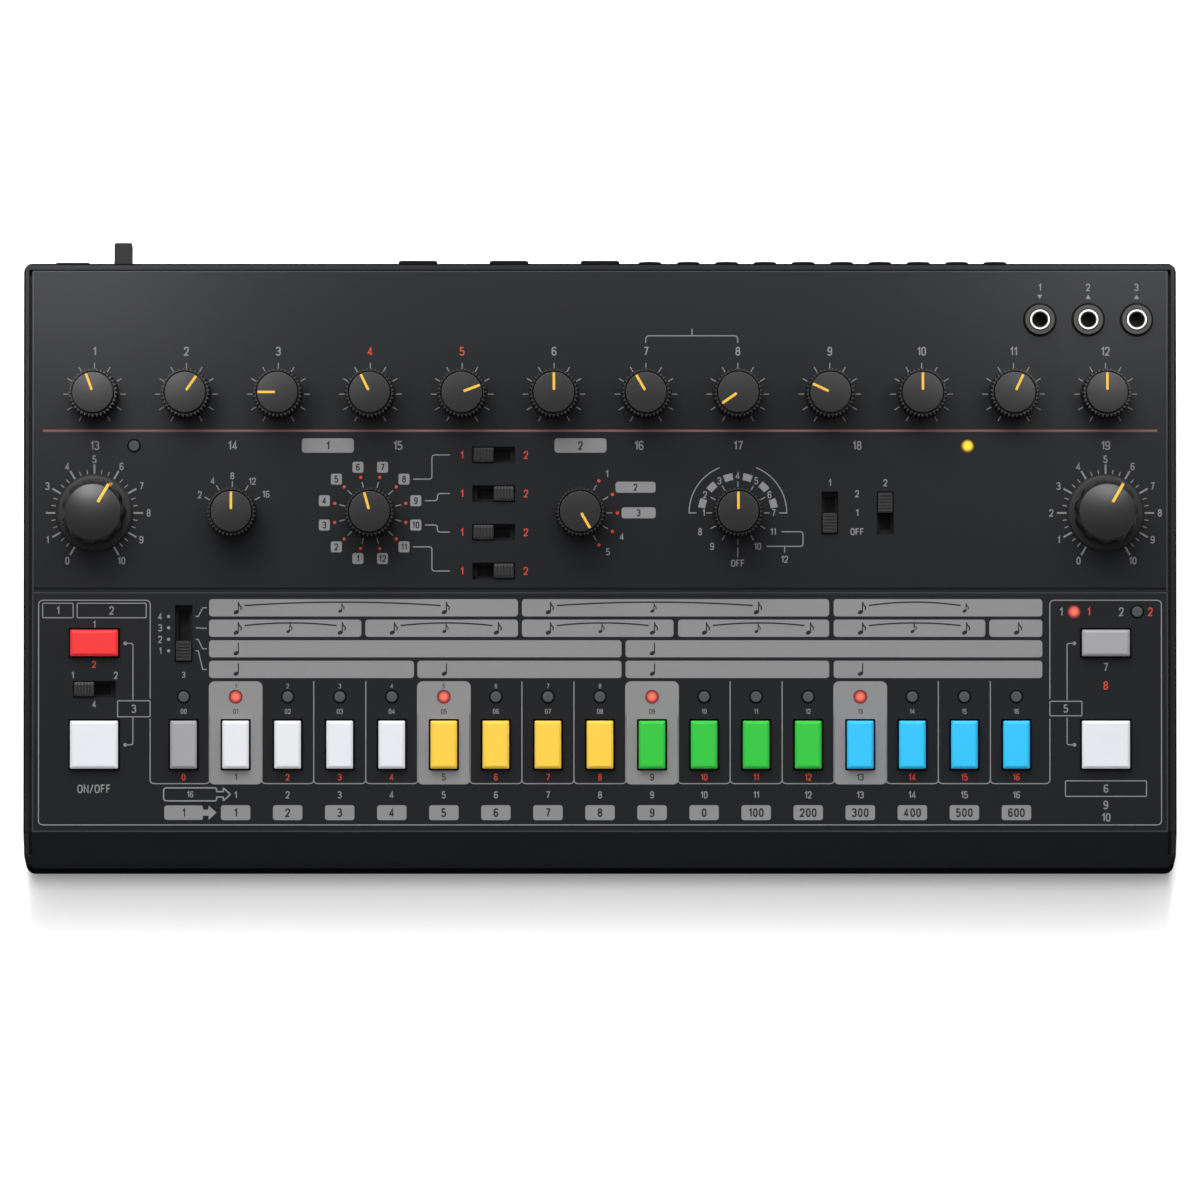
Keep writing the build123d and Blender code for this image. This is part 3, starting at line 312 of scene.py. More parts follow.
def circle(radius, height, count=48):
    return [(radius * cos(2 * pi * i / count), radius * sin(2 * pi * i / count), height) for i in range(count)]


def slice_at(x, y, half, low, high):
    """Upright rectangle across the way of y, as one ring of a bar."""
    return [(x - half, y, low), (x + half, y, low), (x + half, y, high), (x - half, y, high)]


def turned(form, profile, finish=0, count=48, closed=False):
    """Round shape from (radius, height) pairs; a closed profile makes a ring."""
    skin(form, [circle(radius, height, count) for radius, height in profile], finish, closed)


def rounded_rectangle(width, length, corner, height, steps=4):
    points = []
    for quarter, (side, end) in enumerate(((1, 1), (-1, 1), (-1, -1), (1, -1))):
        for i in range(steps + 1):
            angle = (quarter + i / steps) * pi / 2
            points.append((side * (width / 2 - corner) + corner * cos(angle),
                           end * (length / 2 - corner) + corner * sin(angle), height))
    return points


def block(form, width, length, low, high, corner, bevel=(), finish=0):
    """Upright block with rounded corners; bevel gives (inset, drop) pairs for its upper edge, outermost first."""
    rings = [rounded_rectangle(width, length, corner, low)]
    rings += [rounded_rectangle(width - 2 * inset, length - 2 * inset, max(corner - inset, 0.04), high - drop)
              for inset, drop in bevel or ((0, 0),)]
    skin(form, rings, finish)


def mesh_of(form, name, materials, crease=35):
    """Plain mesh from a bmesh, shaded smooth up to the crease angle."""
    mesh = bpy.data.meshes.new(name)
    form.to_mesh(mesh)
    form.free()
    for material in materials:
        mesh.materials.append(looks[material])
    mesh.polygons.foreach_set("use_smooth", [True] * len(mesh.polygons))
    mesh.set_sharp_from_angle(angle=radians(crease))
    return mesh


def add_to(target, form, place=Matrix()):
    """Adds a shape to a larger one at its place and frees it."""
    part = bpy.data.meshes.new("part")
    form.to_mesh(part)
    form.free()
    part.transform(place)
    target.from_mesh(part)
    bpy.data.meshes.remove(part)


def piece(name, mesh, place, body, slot, *replaced):
    """Sets a mesh at its place, gives it a body and hides the frame's nodes that it stands for."""
    mesh.transform(place)
    mesh.update()
    made = bpy.data.objects.new(name, mesh)
    bpy.context.scene.collection.objects.link(made)
    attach(made, body)
    if replaced:
        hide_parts(*replaced)
    return made


# ---------------------------------------------------------------- geometry node trees
def node_shape(name, **kinds):
    """Empty geometry tree with a Geometry input and output, and inputs named by their kind."""
    made = bpy.data.node_groups.new(name, "GeometryNodeTree")
    made.interface.new_socket("Geometry", in_out="OUTPUT", socket_type="NodeSocketGeometry")
    for kind, names in {"Geometry": "Geometry", **kinds}.items():
        for key in names.split(", "):
            made.interface.new_socket(key, in_out="INPUT", socket_type="NodeSocket" + kind)
    tree = Tree(made)
    return made, tree, tree.node("NodeGroupInput").outputs, tree.node("NodeGroupOutput").inputs["Geometry"]


def grown(tree, base, name, **values):
    """Mesh that a geometry tree makes from a base mesh, with its inputs set by identifier."""
    carrier = bpy.data.objects.new(name, base)
    bpy.context.scene.collection.objects.link(carrier)
    modifier = carrier.modifiers.new(name, "NODES")
    modifier.node_group = tree
    identifiers = {item.name: item.identifier for item in tree.interface.items_tree if item.in_out == "INPUT"}
    for key, value in values.items():
        modifier[identifiers[key.replace("_", " ")]] = value
    bpy.context.view_layer.update()
    evaluated = carrier.evaluated_get(bpy.context.evaluated_depsgraph_get())
    mesh = bpy.data.meshes.new_from_object(evaluated)
    mesh.name = name
    bpy.data.objects.remove(carrier)
    bpy.data.meshes.remove(base)
    return mesh


def copies(tree, points, shape, **turned_or_scaled):
    """Instances of a shape on points, made real."""
    made = tree.node("GeometryNodeInstanceOnPoints", Points=points, Instance=shape, **turned_or_scaled)
    return tree.node("GeometryNodeRealizeInstances", Geometry=made.outputs["Instances"]).outputs["Geometry"]


def set_round(tree, count, radius, first, step, shape):
    """Copies of a shape on a circle and turned with it; angles run clockwise from the rear."""
    index = tree.node("GeometryNodeInputIndex").outputs["Index"]
    angle = tree.math("ADD", tree.math("MULTIPLY", index, step), first)
    spot = tree.vector(X=tree.math("MULTIPLY", tree.math("SINE", angle), radius),
                       Y=tree.math("MULTIPLY", tree.math("COSINE", angle), radius))
    points = tree.node("GeometryNodePoints", Count=count).outputs["Points"]
    moved = tree.node("GeometryNodeSetPosition", Geometry=points, Position=spot).outputs["Geometry"]
    return copies(tree, moved, shape, Rotation=tree.vector(Z=tree.math("MULTIPLY", angle, -1.0)))


def with_finish(tree, geometry, material):
    return tree.node("GeometryNodeSetMaterial", Geometry=geometry, Material=material).outputs["Geometry"]


def joined(tree, *parts):
    made = tree.node("GeometryNodeJoinGeometry")
    for part in parts:
        tree.put(made.inputs["Geometry"], part)
    return made.outputs["Geometry"]


def make_tick_ring():
    """Printed marks round every point of the base mesh."""
    made, tree, given, result = node_shape(
        "tick_ring", Int="Marks", Material="Ink",
        Float="First Angle, Step Angle, Inner Radius, Outer Radius, Width, Thickness")
    ends = given["Outer Radius"], given["Inner Radius"]
    size = tree.vector(X=given["Width"], Y=tree.math("SUBTRACT", *ends), Z=given["Thickness"])
    mark = tree.node("GeometryNodeMeshCube", Size=size).outputs["Mesh"]
    ring = set_round(tree, given["Marks"], tree.math("MULTIPLY", tree.math("ADD", *ends), 0.5),
                     given["First Angle"], given["Step Angle"], mark)
    tree.put(result, with_finish(tree, copies(tree, given["Geometry"], ring), given["Ink"]))
    return made


def make_toothed_skirt():
    """Pointed teeth round the base mesh, slimmer towards the top."""
    made, tree, given, result = node_shape(
        "toothed_skirt", Int="Teeth", Material="Plastic", Float="Root Radius, Foot, Height, Tooth Size, Tooth Top")
    tooth = tree.node("GeometryNodeMeshCone", Vertices=3, Radius_Bottom=given["Tooth Size"],
                      Radius_Top=given["Tooth Top"], Depth=given["Height"]).outputs["Mesh"]
    raised = tree.node("GeometryNodeTransform", Geometry=tooth, Rotation=(0, 0, pi / 2),
                       Translation=tree.vector(Z=given["Foot"])).outputs["Geometry"]
    ring = set_round(tree, given["Teeth"], given["Root Radius"], 0.0,
                     tree.math("DIVIDE", 2 * pi, given["Teeth"]), raised)
    tree.put(result, joined(tree, with_finish(tree, ring, given["Plastic"]), given["Geometry"]))
    return made


def make_rib_row():
    """Straight ribs in a row across the base mesh."""
    made, tree, given, result = node_shape(
        "rib_row", Int="Ribs", Material="Plastic", Float="Pitch, Rib Width, Rib Length, Foot, Rise")
    span = tree.math("MULTIPLY", given["Pitch"], tree.math("SUBTRACT", given["Ribs"], 1.0))
    start = tree.vector(X=tree.math("MULTIPLY", span, -0.5), Z=given["Foot"])
    line = tree.node("GeometryNodeMeshLine", Count=given["Ribs"], Start_Location=start,
                     Offset=tree.vector(X=given["Pitch"])).outputs["Mesh"]
    rib = tree.node("GeometryNodeMeshCone", Vertices=4, Radius_Bottom=1.0, Radius_Top=0.62).outputs["Mesh"]
    square = tree.node("GeometryNodeTransform", Geometry=rib, Rotation=(0, 0, pi / 4)).outputs["Geometry"]
    scale = tree.vector(X=tree.math("MULTIPLY", given["Rib Width"], sqrt(0.5)),
                        Y=tree.math("MULTIPLY", given["Rib Length"], sqrt(0.5)),
                        Z=tree.math("MULTIPLY", given["Rise"], 0.5))
    ribs = with_finish(tree, copies(tree, line, square, Scale=scale), given["Plastic"])
    tree.put(result, joined(tree, ribs, given["Geometry"]))
    return made


TICK_RING = make_tick_ring()
TOOTHED_SKIRT = make_toothed_skirt()
RIB_ROW = make_rib_row()


# ---------------------------------------------------------------- knobs
SHAFT = ((3.0, -7.6), (3.0, 10.5))


def pointer_bar(form, start, end, low, high, finish, width):
    """Bar along +y with round ends."""
    outline = rounded_rectangle(width, end - start, width / 2 - 0.02, 0)
    middle = (start + end) / 2
    skin(form, [[(x, y + middle, z) for x, y, _ in outline] for z in (low, high)], finish)


def small_knob():
    """Ring of pointed teeth round a near-black core, a neck, and a flat cap with the inlaid pointer; the core's black
    is painted shade between the teeth and under the cap.
    """
    form = bmesh.new()
    turned(form, ((3.02, 10.52), (3.02, 0.5), (5.72, 0.5), (5.76, 0.65), (5.72, 11.9), (5.6, 12.1), (5.0, 12.1),
                  (5.0, 13.25), (5.1, 13.4)), 0, 72)
    # The cap's side and rounded edge take the lighter rim plastic: a painted highlight ring.
    turned(form, ((5.0, 13.3), (5.22, 13.35), (5.3, 13.5), (5.3, 14.16), (5.29, 14.22), (5.25, 14.28),
                  (5.19, 14.32)), 4, 72)
    turned(form, ((4.9, 14.2), (5.2, 14.32), (5.16, 14.328)), 1, 72)
    pointer_bar(form, 0.34, 5.28, 13.9, 14.336, 5, 1.06)
    pointer_bar(form, 0.54, 5.2, 13.9, 14.352, 2, 0.64)
    turned(form, SHAFT, 3, 32)
    mesh = mesh_of(form, "small_knob", ("knob_plastic", "cap_plastic", "pointer_paint", "screw_steel", "cap_edge_highlight",
                                        "pointer_seat"))
    # The teeth's plastic is lighter than the knob's: a painted highlight.
    return grown(TOOTHED_SKIRT, mesh, "small_knob", Teeth=36, Root_Radius=5.99, Foot=0.5, Height=12.4,
                 Tooth_Size=0.61, Tooth_Top=0.55, Plastic=looks["tooth_highlight_plastic"])


def scalloped(radius, depth, lobes, height, per_lobe=14):
    """Ring with round hollows between broad lobes."""
    points = []
    for i in range(lobes * per_lobe):
        phase = (i % per_lobe) / per_lobe * 2 - 1
        hollow = max(0.0, 1 - (phase / 0.62) ** 2) ** 0.8
        angle = 2 * pi * i / (lobes * per_lobe)
        reach = radius - depth * hollow
        points.append((reach * cos(angle), reach * sin(angle), height))
    return points


def large_knob():
    """Disc skirt, scalloped grip and domed cap with a pointer on the dome and its mark on the skirt."""
    form = bmesh.new()
    turned(form, ((3.02, 0.5), (9.7, 0.5), (10.02, 0.6), (10.1, 0.8), (10.1, 1.25), (10.02, 1.42), (9.86, 1.5),
                  (9.74, 1.86), (9.6, 1.96), (9.2, 2.0), (3.02, 2.0)), 5, 96, closed=True)
    # The grip is near black: painted shade on its sides.
    grip = [(8.45, 1.9, 1.0), (8.45, 2.4, 1.0), (8.35, 11.9, 1.0), (8.25, 12.35, 0.98), (8.05, 12.52, 0.9),
            (7.8, 12.55, 0.7), (7.4, 12.55, 0.3)]
    skin(form, [scalloped(radius, 0.62 * share, 11, height) for radius, height, share in grip], 0)
    dome_radius, dome_foot, dome_rise = 7.42, 12.9, 1.2
    sphere = (dome_radius ** 2 + dome_rise ** 2) / (2 * dome_rise)

    def over(y):
        """Height of the dome at a distance from the middle."""
        return dome_foot + sqrt(sphere ** 2 - y ** 2) - sphere + dome_rise

    # Near-black step round the dome's foot: a painted shade ring.
    turned(form, ((dome_radius - 0.3, 12.3), (dome_radius + 0.06, 12.4), (dome_radius + 0.06, dome_foot - 0.14),
                  (dome_radius - 0.02, dome_foot - 0.04)), 0, 96)
    profile = [(dome_radius - 0.2, dome_foot - 0.5), (dome_radius - 0.04, dome_foot - 0.1)]
    profile += [(dome_radius * cos(pi / 2 * i / 15), over(dome_radius * cos(pi / 2 * i / 15))) for i in range(2, 15)]
    turned(form, profile, 1, 96)
    for finish, width, lift, start in ((6, 1.06, 0.02, 2.65), (2, 0.76, 0.035, 2.8)):
        tops = [(start + (7.38 - start) * i / 8, over(start + (7.38 - start) * i / 8) + lift) for i in range(9)]
        tops += [(7.6, 12.56 + lift), (8.15, 12.54 + lift), (8.38, 12.3)]
        skin(form, [slice_at(0, y, width / 2, 12.0, top)[::-1] for y, top in tops], finish)
        skin(form, [slice_at(0, y, width / 2, 1.9, 2.0 + lift)[::-1] for y in (8.2, 9.2)],
             finish if finish == 6 else 3)
    turned(form, SHAFT, 4, 32)
    return mesh_of(form, "large_knob", ("knob_plastic", "dome_plastic", "pointer_paint", "edge_paint", "screw_steel",
                                        "skirt_plastic", "pointer_seat"))


level_pointers = (-20, 35, -90, -26, 69, 0, -30, -125, -65, 0, 25, 0)
knobs = [(f"level_knob_{i + 1:02d}", LEVEL_KNOBS[i], LEVEL_ROW, turn) for i, turn in enumerate(level_pointers)]
knobs += [("measure_selector_knob", MEASURE_X, CONTROL_ROW, 0),
          ("instrument_selector_knob", INSTRUMENT_X, CONTROL_ROW, -15),
          ("pattern_selector_knob", PATTERN_X, CONTROL_ROW, 150),
          ("variation_selector_knob", VARIATION_X, CONTROL_ROW, 0)]
knob_mesh = small_knob()
for name, x, v, turn in knobs:
    piece(name + "_dressed", knob_mesh.copy(), panel_place(x, v, 0, turn), name, "knob_plastic", name)
dial_mesh = large_knob()
for name, x in (("tempo_knob", -SIDE_X), ("volume_knob", SIDE_X)):
    piece(name + "_dressed", dial_mesh.copy(), panel_place(x, CONTROL_ROW, 0, 30), name, "knob_plastic", name)


# ---------------------------------------------------------------- keys and levers
def key_mesh(width, length, shade):
    """Coloured cap with a flat bevel on its black carrier, whose rim stays under the cover, and the plunger; the
    carrier's black is painted shade in the gap round the cap.
    """
    form = bmesh.new()
    block(form, width, length, 0.3, 2.4, 0.3, ((0, 0.56), (0.05, 0.48), (0.56, 0.05), (0.66, 0), (0.9, 0)))
    block(form, width - 0.1, length - 0.1, -2.3, 0.32, 0.3, (), 1)
    block(form, width + 1.4, length + 1.4, -3.3, -2.3, 0.5, (), 1)
    turned(form, ((1.9, -4.98), (1.9, -3.3)), 1, 24)
    turned(form, ((1.7, -7.3), (1.7, -5.0)), 1, 24)
    return mesh_of(form, "key", ("key_" + shade, "component_black"), 25)


NARROW_KEY, SQUARE_KEY, OBLONG_KEY = (7.0, 12.65), (12.65, 12.65), (12.6, 7.0)
key_places = [(f"step_button_{i + 1:02d}", step_x(i + 1), KEY_ROW, NARROW_KEY,
               ("white", "yellow", "green", "blue")[i // 4]) for i in range(STEPS)]
key_places += [
    ("function_button", FUNCTION_X, KEY_ROW, NARROW_KEY, "grey"),
    ("start_button", -SIDE_X, KEY_ROW, SQUARE_KEY, "white"), ("tap_button", SIDE_X, KEY_ROW, SQUARE_KEY, "white"),
    ("clear_button", -SIDE_X, OBLONG_ROW, OBLONG_KEY, "red"),
    ("pattern_button", SIDE_X, OBLONG_ROW, OBLONG_KEY, "grey")]
for name, x, v, size, shade in key_places:
    piece(name + "_cap", key_mesh(*size, shade), panel_place(x, v), name, "key_" + shade, name)


def lever_mesh(width):
    """Lever with a ribbed top on the stem that works the contact."""
    form = bmesh.new()
    block(form, LEVER_LENGTH, width, -3.0, 0.85, 0.35, ((0, 0.12), (0.12, 0)))
    block(form, 3.0, 2.2, -6.0, -2.98, 0.2)
    mesh = mesh_of(form, "lever", ("lever_plastic",))
    return grown(RIB_ROW, mesh, "lever", Ribs=6, Pitch=0.84, Rib_Width=0.66, Rib_Length=width - 0.05, Foot=0.8,
                 Rise=0.38, Plastic=looks["lever_plastic"])


SLOT, SCALE_SLOT = (11.3, 4.4), (15.1, 4.6)
LEVER_LENGTH, SLOT_PLAY = 5.3, 0.3
mode_rows = [CONTROL_ROW + 10.23 * (1.5 - i) for i in range(4)]
lever_places = [(f"mode_switch_{i + 1}", MODE_X, v, SLOT, 0, (-1, 1)[i % 2]) for i, v in enumerate(mode_rows)]
lever_places += [
    ("fill_switch", FILL_X, CONTROL_ROW, SLOT, 90, -1), ("cycle_switch", CYCLE_X, CONTROL_ROW, SLOT, 90, 1),
    ("tempo_source_switch", -SIDE_X, 38.0, SLOT, 0, -1),
    ("scale_switch", FUNCTION_X, 52.7, SCALE_SLOT, 90, -1)]
for name, x, v, slot, turn, end in lever_places:
    reach = end * (slot[0] - LEVER_LENGTH - 2 * SLOT_PLAY) / 2
    place = panel_place(x + reach * cos(radians(turn)), v + reach * sin(radians(turn)), 0, -turn)
    piece(name + "_lever", lever_mesh(slot[1] - 0.6), place, name, "lever_plastic", name)


# ---------------------------------------------------------------- nuts on the sockets
def nut_form(nut, washer, barrel, top, washer_top, barrel_end):
    """Round nut on its wide black washer, with thin dark rings on the barrel's end, painted shade of its edge and of
    the bore's chamfer, that leave only the barrel's middle bright.
    """
    form = bmesh.new()
    turned(form, ((barrel, 0.0), (washer, 0.0), (washer, washer_top - 0.12), (washer - 0.06, washer_top),
                  (barrel, washer_top)), 1, 64, closed=True)
    turned(form, ((barrel + 0.02, washer_top), (nut, washer_top), (nut, top - 0.08), (nut - 0.06, top),
                  (barrel + 0.1, top), (barrel + 0.02, top - 0.1)), 0, 96, closed=True)
    # The three thin rings on the barrel's end, dark and mid-grey, are painted shade of its edge and of the bore's
    # chamfer.
    for inner, outer, finish in ((barrel - 0.12, barrel + 0.1, 1), (1.72, 1.95, 1), (1.95, 2.2, 0)):
        turned(form, ((inner, barrel_end), (outer, barrel_end), (outer, barrel_end + 0.03),
                      (inner, barrel_end + 0.03)), finish, 64, closed=True)
    return form


def collar_form(size, hole, proud):
    """Square black collar round a rear socket, with a slightly domed ring round its hole."""
    form = bmesh.new()
    steps = 8
    rings = [rounded_rectangle(size - 2 * inset, size - 2 * inset, 0.8, height, steps)
             for inset, height in ((0, 0), (0, proud - 0.3), (0.1, proud - 0.1), (0.3, proud))]
    rings += [circle(hole + 0.3, proud, 4 * (steps + 1)), circle(hole, proud - 0.2, 4 * (steps + 1)),
              circle(hole, 0, 4 * (steps + 1))]
    skin(form, rings, 1, closed=True)
    return form


nuts = bmesh.new()
for x in PANEL_JACKS:
    add_to(nuts, nut_form(3.92, 4.44, 2.72, 2.0, 0.5, 2.3), panel_place(x, PANEL_JACK_ROW))
for x in REAR_JACKS:
    add_to(nuts, collar_form(6.1, 2.72, 2.95), rear_place(x))
for x in LARGE_REAR_JACKS:
    add_to(nuts, collar_form(10.3, 4.52, 2.8), rear_place(x))
piece("socket_nuts", mesh_of(nuts, "socket_nuts", ("nut_metal", "washer_black_and_shade"), 25), Matrix(), "case", "nut_black",
      "jack_nuts")


# ---------------------------------------------------------------- lamps
LENS = 1.5


def lamp_form(finish):
    """Lens with its low crown and flange, and two legs down to the board."""
    form = bmesh.new()
    legs = bmesh.new()
    turned(form, ((1.9, -5.0), (1.9, -4.0), (LENS, -4.0), (LENS, 0.3), (1.47, 0.42), (1.39, 0.5), (1.26, 0.55),
                  (1.1, 0.58), (0.9, 0.6), (0.7, 0.61), (0.4, 0.62), (0.15, 0.625)), finish, 36)
    for side in (-1, 1):
        turned(legs, ((0.28, -9.9), (0.28, -4.98)), 3, 8)
        bmesh.ops.translate(legs, verts=legs.verts[-16:], vec=(1.27 * side, 0, 0))
    return form, legs


lamp_places = [(step_x(i), LED_ROW, int(i % 4 == 1)) for i in range(STEPS + 1)]
UPPER_LAMP_ROW, BOX_LAMP_ROW, BOX_LAMP_X = CONTROL_ROW + 17.75, OBLONG_ROW + 8.3, 8.35
lamp_places += [(10.46 - SIDE_X, UPPER_LAMP_ROW, 0), (4 * KNOB_PITCH, UPPER_LAMP_ROW, 2),
                (SIDE_X - BOX_LAMP_X, BOX_LAMP_ROW, 1), (SIDE_X + BOX_LAMP_X, BOX_LAMP_ROW, 0)]
lamps = bmesh.new()
reach_layer = lamps.verts.layers.float.new("reach")
for x, v, finish in lamp_places:
    for form in lamp_form(finish):
        start = len(lamps.verts)
        add_to(lamps, form, Matrix.Translation((x, v, 0)))
        lamps.verts.ensure_lookup_table()
        for corner in lamps.verts[start:]:
            corner[reach_layer] = min(1.0, hypot(corner.co.x - x, corner.co.y - v) / LENS)
piece("lamp_lenses", mesh_of(lamps, "lamp_lenses", ("lamp_off", "lamp_red", "lamp_yellow", "screw_steel"), 40),
      panel_place(), "case", "led_lens", "leds")


# ---------------------------------------------------------------- finishes of the frame's own nodes
def dress(node, *materials, choose=None):
    """Gives a node's object its materials; choose names the one for each face from its middle."""
    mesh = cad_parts[node].data
    mesh.materials.clear()
    for material in materials:
        mesh.materials.append(looks[material])
    if choose:
        back = panel_place().inverted()
        across = back.to_3x3().normalized()
        mesh.polygons.foreach_set("material_index", [
            choose(face.center / MM, back @ face.center, across @ face.normal) for face in mesh.polygons])


def tub_finish(world, panel, normal):
    """0 rim's upper face, 1 walls and floor, 2 roundings and low front in painted shade, 3 groove's inner wall, 4
    front shoulders with a painted highlight.
    """
    if normal.z > 0.93 and panel.z > -0.5:
        return 0
    if world.y < -74.6 and world.z > 15.5 and normal.z > 0.35:
        return 4
    if abs(world.x) < 151.25 and -3 < panel.z < 0 and abs(normal.x) > 0.9 and panel.y > 0:
        return 3
    return 2 if normal.z > 0.15 or world.y < -70 else 1


def cover_finish(world, panel, normal):
    """0 the panel's face, 1 lip and inside, 2 the panel's own edges in the groove with a painted highlight, 3 the
    lip's foot in painted shade.
    """
    if panel.y < -0.2 and normal.z < 0.3:
        return 3
    if panel.y < -0.2 or panel.z < -0.6:
        return 2 if abs(normal.x) > 0.9 and abs(world.x) > 150 and panel.y > 0 else 1
    return int(abs(normal.z) < 0.5)


def socket_finish(world, panel, normal):
    """0 black body, 1 "nickel": barrels, shells and pins."""
    if panel.x > 110 and panel.y > 130 and panel.z > -2.25:
        return 1
    barrel = world.x > -54 or -117 < world.x < -104
    return 1 if barrel and world.y > REAR_Y - 2.55 else 0


dress("upper_case", "cover_plastic", "edge_plastic", "groove_edge_highlight", "painted_shade_plastic", choose=cover_finish)
dress("lower_case", "tub_plastic", "wall_plastic", "painted_shade_plastic", "gasket_plastic", "shoulder_highlight",
      choose=tub_finish)
dress("sockets", "component_black", "nickel", choose=socket_finish)
for look, nodes in (("foot_rubber", "rubber_feet"), ("screw_steel", "screws"), ("knob_plastic", "power_button"),
                    ("board_laminate", "control_board step_board main_board"),
                    # The slide switches' housings are black so that their slots read as shade: painted shade.
                    ("component_black", "potentiometers panel_switches")):
    for node in nodes.split():
        dress(node, look)


# Strips in the grooves between the cover and the side walls
GROOVE_X, SHOULDER_X = 150.7, 151.3
gaskets = bmesh.new()
for side in (-1, 1):
    shoulder = side * SHOULDER_X
    skin(gaskets, [slice_at(side * GROOVE_X, y, 0.42, z - 0.4, z)
                   for y, z in ((70.8, 46.12), (-74.3, 20.54), (-79.4, 14.75))])
    skin(gaskets, [[(shoulder - 0.8, -79.78, z), (shoulder + 0.8, -79.78, z), (shoulder + 0.8, -79.42, z),
                    (shoulder - 0.8, -79.42, z)] for z in (4.0, 15.28)], 1)
piece("side_gaskets", mesh_of(gaskets, "side_gaskets", ("gasket_plastic", "tub_plastic")), Matrix.Scale(MM, 4), "case",
      "cover_plastic")


# ---------------------------------------------------------------- printed panel
# The edge ink holds the painted highlights along the cover's edges; the others are print.
INK = {name: bmesh.new() for name in ("grey", "red", "rule", "dark", "edge")}
INK_FOOT, INK_TOP, OVERPRINT = -0.01, 0.02, 0.032
FINE = 0.27


def plate(ink, outline, top=INK_TOP):
    """Thin solid from a flat outline."""
    skin(INK[ink], [[(x, v, h) for x, v in outline] for h in (INK_FOOT, top)])


def fan(outline):
    """Thin solid from a flat outline with inward corners, its faces cut into triangles."""
    form = bmesh.new()
    skin(form, [[(x, v, h) for x, v in outline] for h in (INK_FOOT, INK_TOP)])
    bmesh.ops.triangulate(form, faces=form.faces[:])
    add_to(INK["grey"], form)


def bar(x0, v0, x1, v1, corner):
    """Filled rectangle with round corners."""
    outline = rounded_rectangle(abs(x1 - x0), abs(v1 - v0), corner, 0)
    middle = ((x0 + x1) / 2, (v0 + v1) / 2)
    plate("grey", [(x + middle[0], y + middle[1]) for x, y, _ in outline])


def pierced(box, hole, opening, top):
    """Filled rectangle (x0, v0, x1, v1) with round corners and an opening (width, length, corner) round a place."""
    x0, v0, x1, v1 = box
    rings = []
    for height, inner in ((INK_FOOT, False), (top, False), (top, True), (INK_FOOT, True)):
        size = opening if inner else (x1 - x0, v1 - v0, 1.5)
        middle = hole if inner else ((x0 + x1) / 2, (v0 + v1) / 2)
        rings.append([(px + middle[0], py + middle[1], h) for px, py, h in rounded_rectangle(*size, height)])
    skin(INK["grey"], rings, closed=True)


def dot(ink, x, v, radius):
    plate(ink, [(x + px, v + py) for px, py, _ in circle(radius, 0, 20)])


def soft(points, radius, closed=False, count=6):
    """Path with its corners rounded, by one radius or by one for each corner."""
    path = [Vector(p) for p in points]
    radii = radius if isinstance(radius, list) else [radius] * len(path)
    result = []
    for i, corner in enumerate(path):
        if (not closed and i in (0, len(path) - 1)) or not radii[i]:
            result.append(corner)
            continue
        before, after = path[i - 1], path[(i + 1) % len(path)]
        start = corner + (before - corner).normalized() * min(radii[i], (before - corner).length * 0.499)
        end = corner + (after - corner).normalized() * min(radii[i], (after - corner).length * 0.499)
        for k in range(count):
            t = k / (count - 1)
            result.append(start * (1 - t) ** 2 + corner * 2 * t * (1 - t) + end * t ** 2)
    return result


def stroke(ink, points, width=FINE, closed=False, top=INK_TOP):
    """Line of even width with mitred corners."""
    path = [Vector(p) for p in points]
    count = len(path)
    rings = []
    for i, point in enumerate(path):
        ways = []
        if i or closed:
            ways.append((point - path[i - 1]).normalized())
        if i < count - 1 or closed:
            ways.append((path[(i + 1) % count] - point).normalized())
        along = sum(ways, Vector((0, 0))).normalized()
        side = Vector((-along.y, along.x))
        reach = width / 2 / max(0.4, side.dot(Vector((-ways[0].y, ways[0].x))))
        left, right = point + side * reach, point - side * reach
        rings.append([(left.x, left.y, top), (left.x, left.y, INK_FOOT), (right.x, right.y, INK_FOOT),
                      (right.x, right.y, top)])
    skin(INK[ink], rings, closed=closed)


def arc(centre, radius, first, last, count=24):
    """Points of an arc; angles run clockwise from the rear, in degrees."""
    return [around(*centre, radius, first + (last - first) * i / (count - 1)) for i in range(count)]


# Figures as lines through a unit box: x, y and how far each corner is rounded
FIGURES = {
    "0": ("0,0,.34 1,0,.34 1,1,.34 0,1,.34 closed",),
    "1": (".12,.74,0 .62,.98,0 .62,0,0",),
    "2": ("0,.7,0 0,1,.26 1,1,.26 1,.56,.2 0,0,0 1.02,0,0",),
    "3": ("0,.82,0 0,1,.26 .96,1,.26 .96,.53,.2 .3,.53,0", ".3,.53,0 1,.53,.26 1,0,.26 0,0,.26 0,.18,0"),
    "4": (".72,0,0 .72,1,0 -.06,.26,0 1.12,.26,0",),
    "5": (".95,1,0 .06,1,0 .06,.56,0 1,.6,.26 1,0,.26 0,0,.26 0,.18,0",),
    "6": ("0,0,.26 1,0,.26 1,.58,.26 0,.58,.26 closed", "0,.3,0 0,1,.34 1,1,.26 1,.86,0"),
    "7": ("0,1,0 1.02,1,0 .36,0,0",),
    "8": ("0,0,.26 1,0,.26 1,.53,.26 0,.53,.26 closed", ".06,.53,.26 .94,.53,.26 .94,1,.26 .06,1,.26 closed"),
    "9": ("0,.42,.26 1,.42,.26 1,1,.26 0,1,.26 closed", "1,.7,0 1,0,.34 0,0,.26 0,.14,0"),
    "O": ("0,0,.4 1.2,0,.4 1.2,1,.4 0,1,.4 closed",),
    "N": ("0,0,0 0,1,0 1.1,0,0 1.1,1,0",),
    "F": ("0,0,0 0,1,0 .95,1,0", "0,.53,0 .8,.53,0"),
    "/": ("0,-.06,0 .8,1.06,0",)}


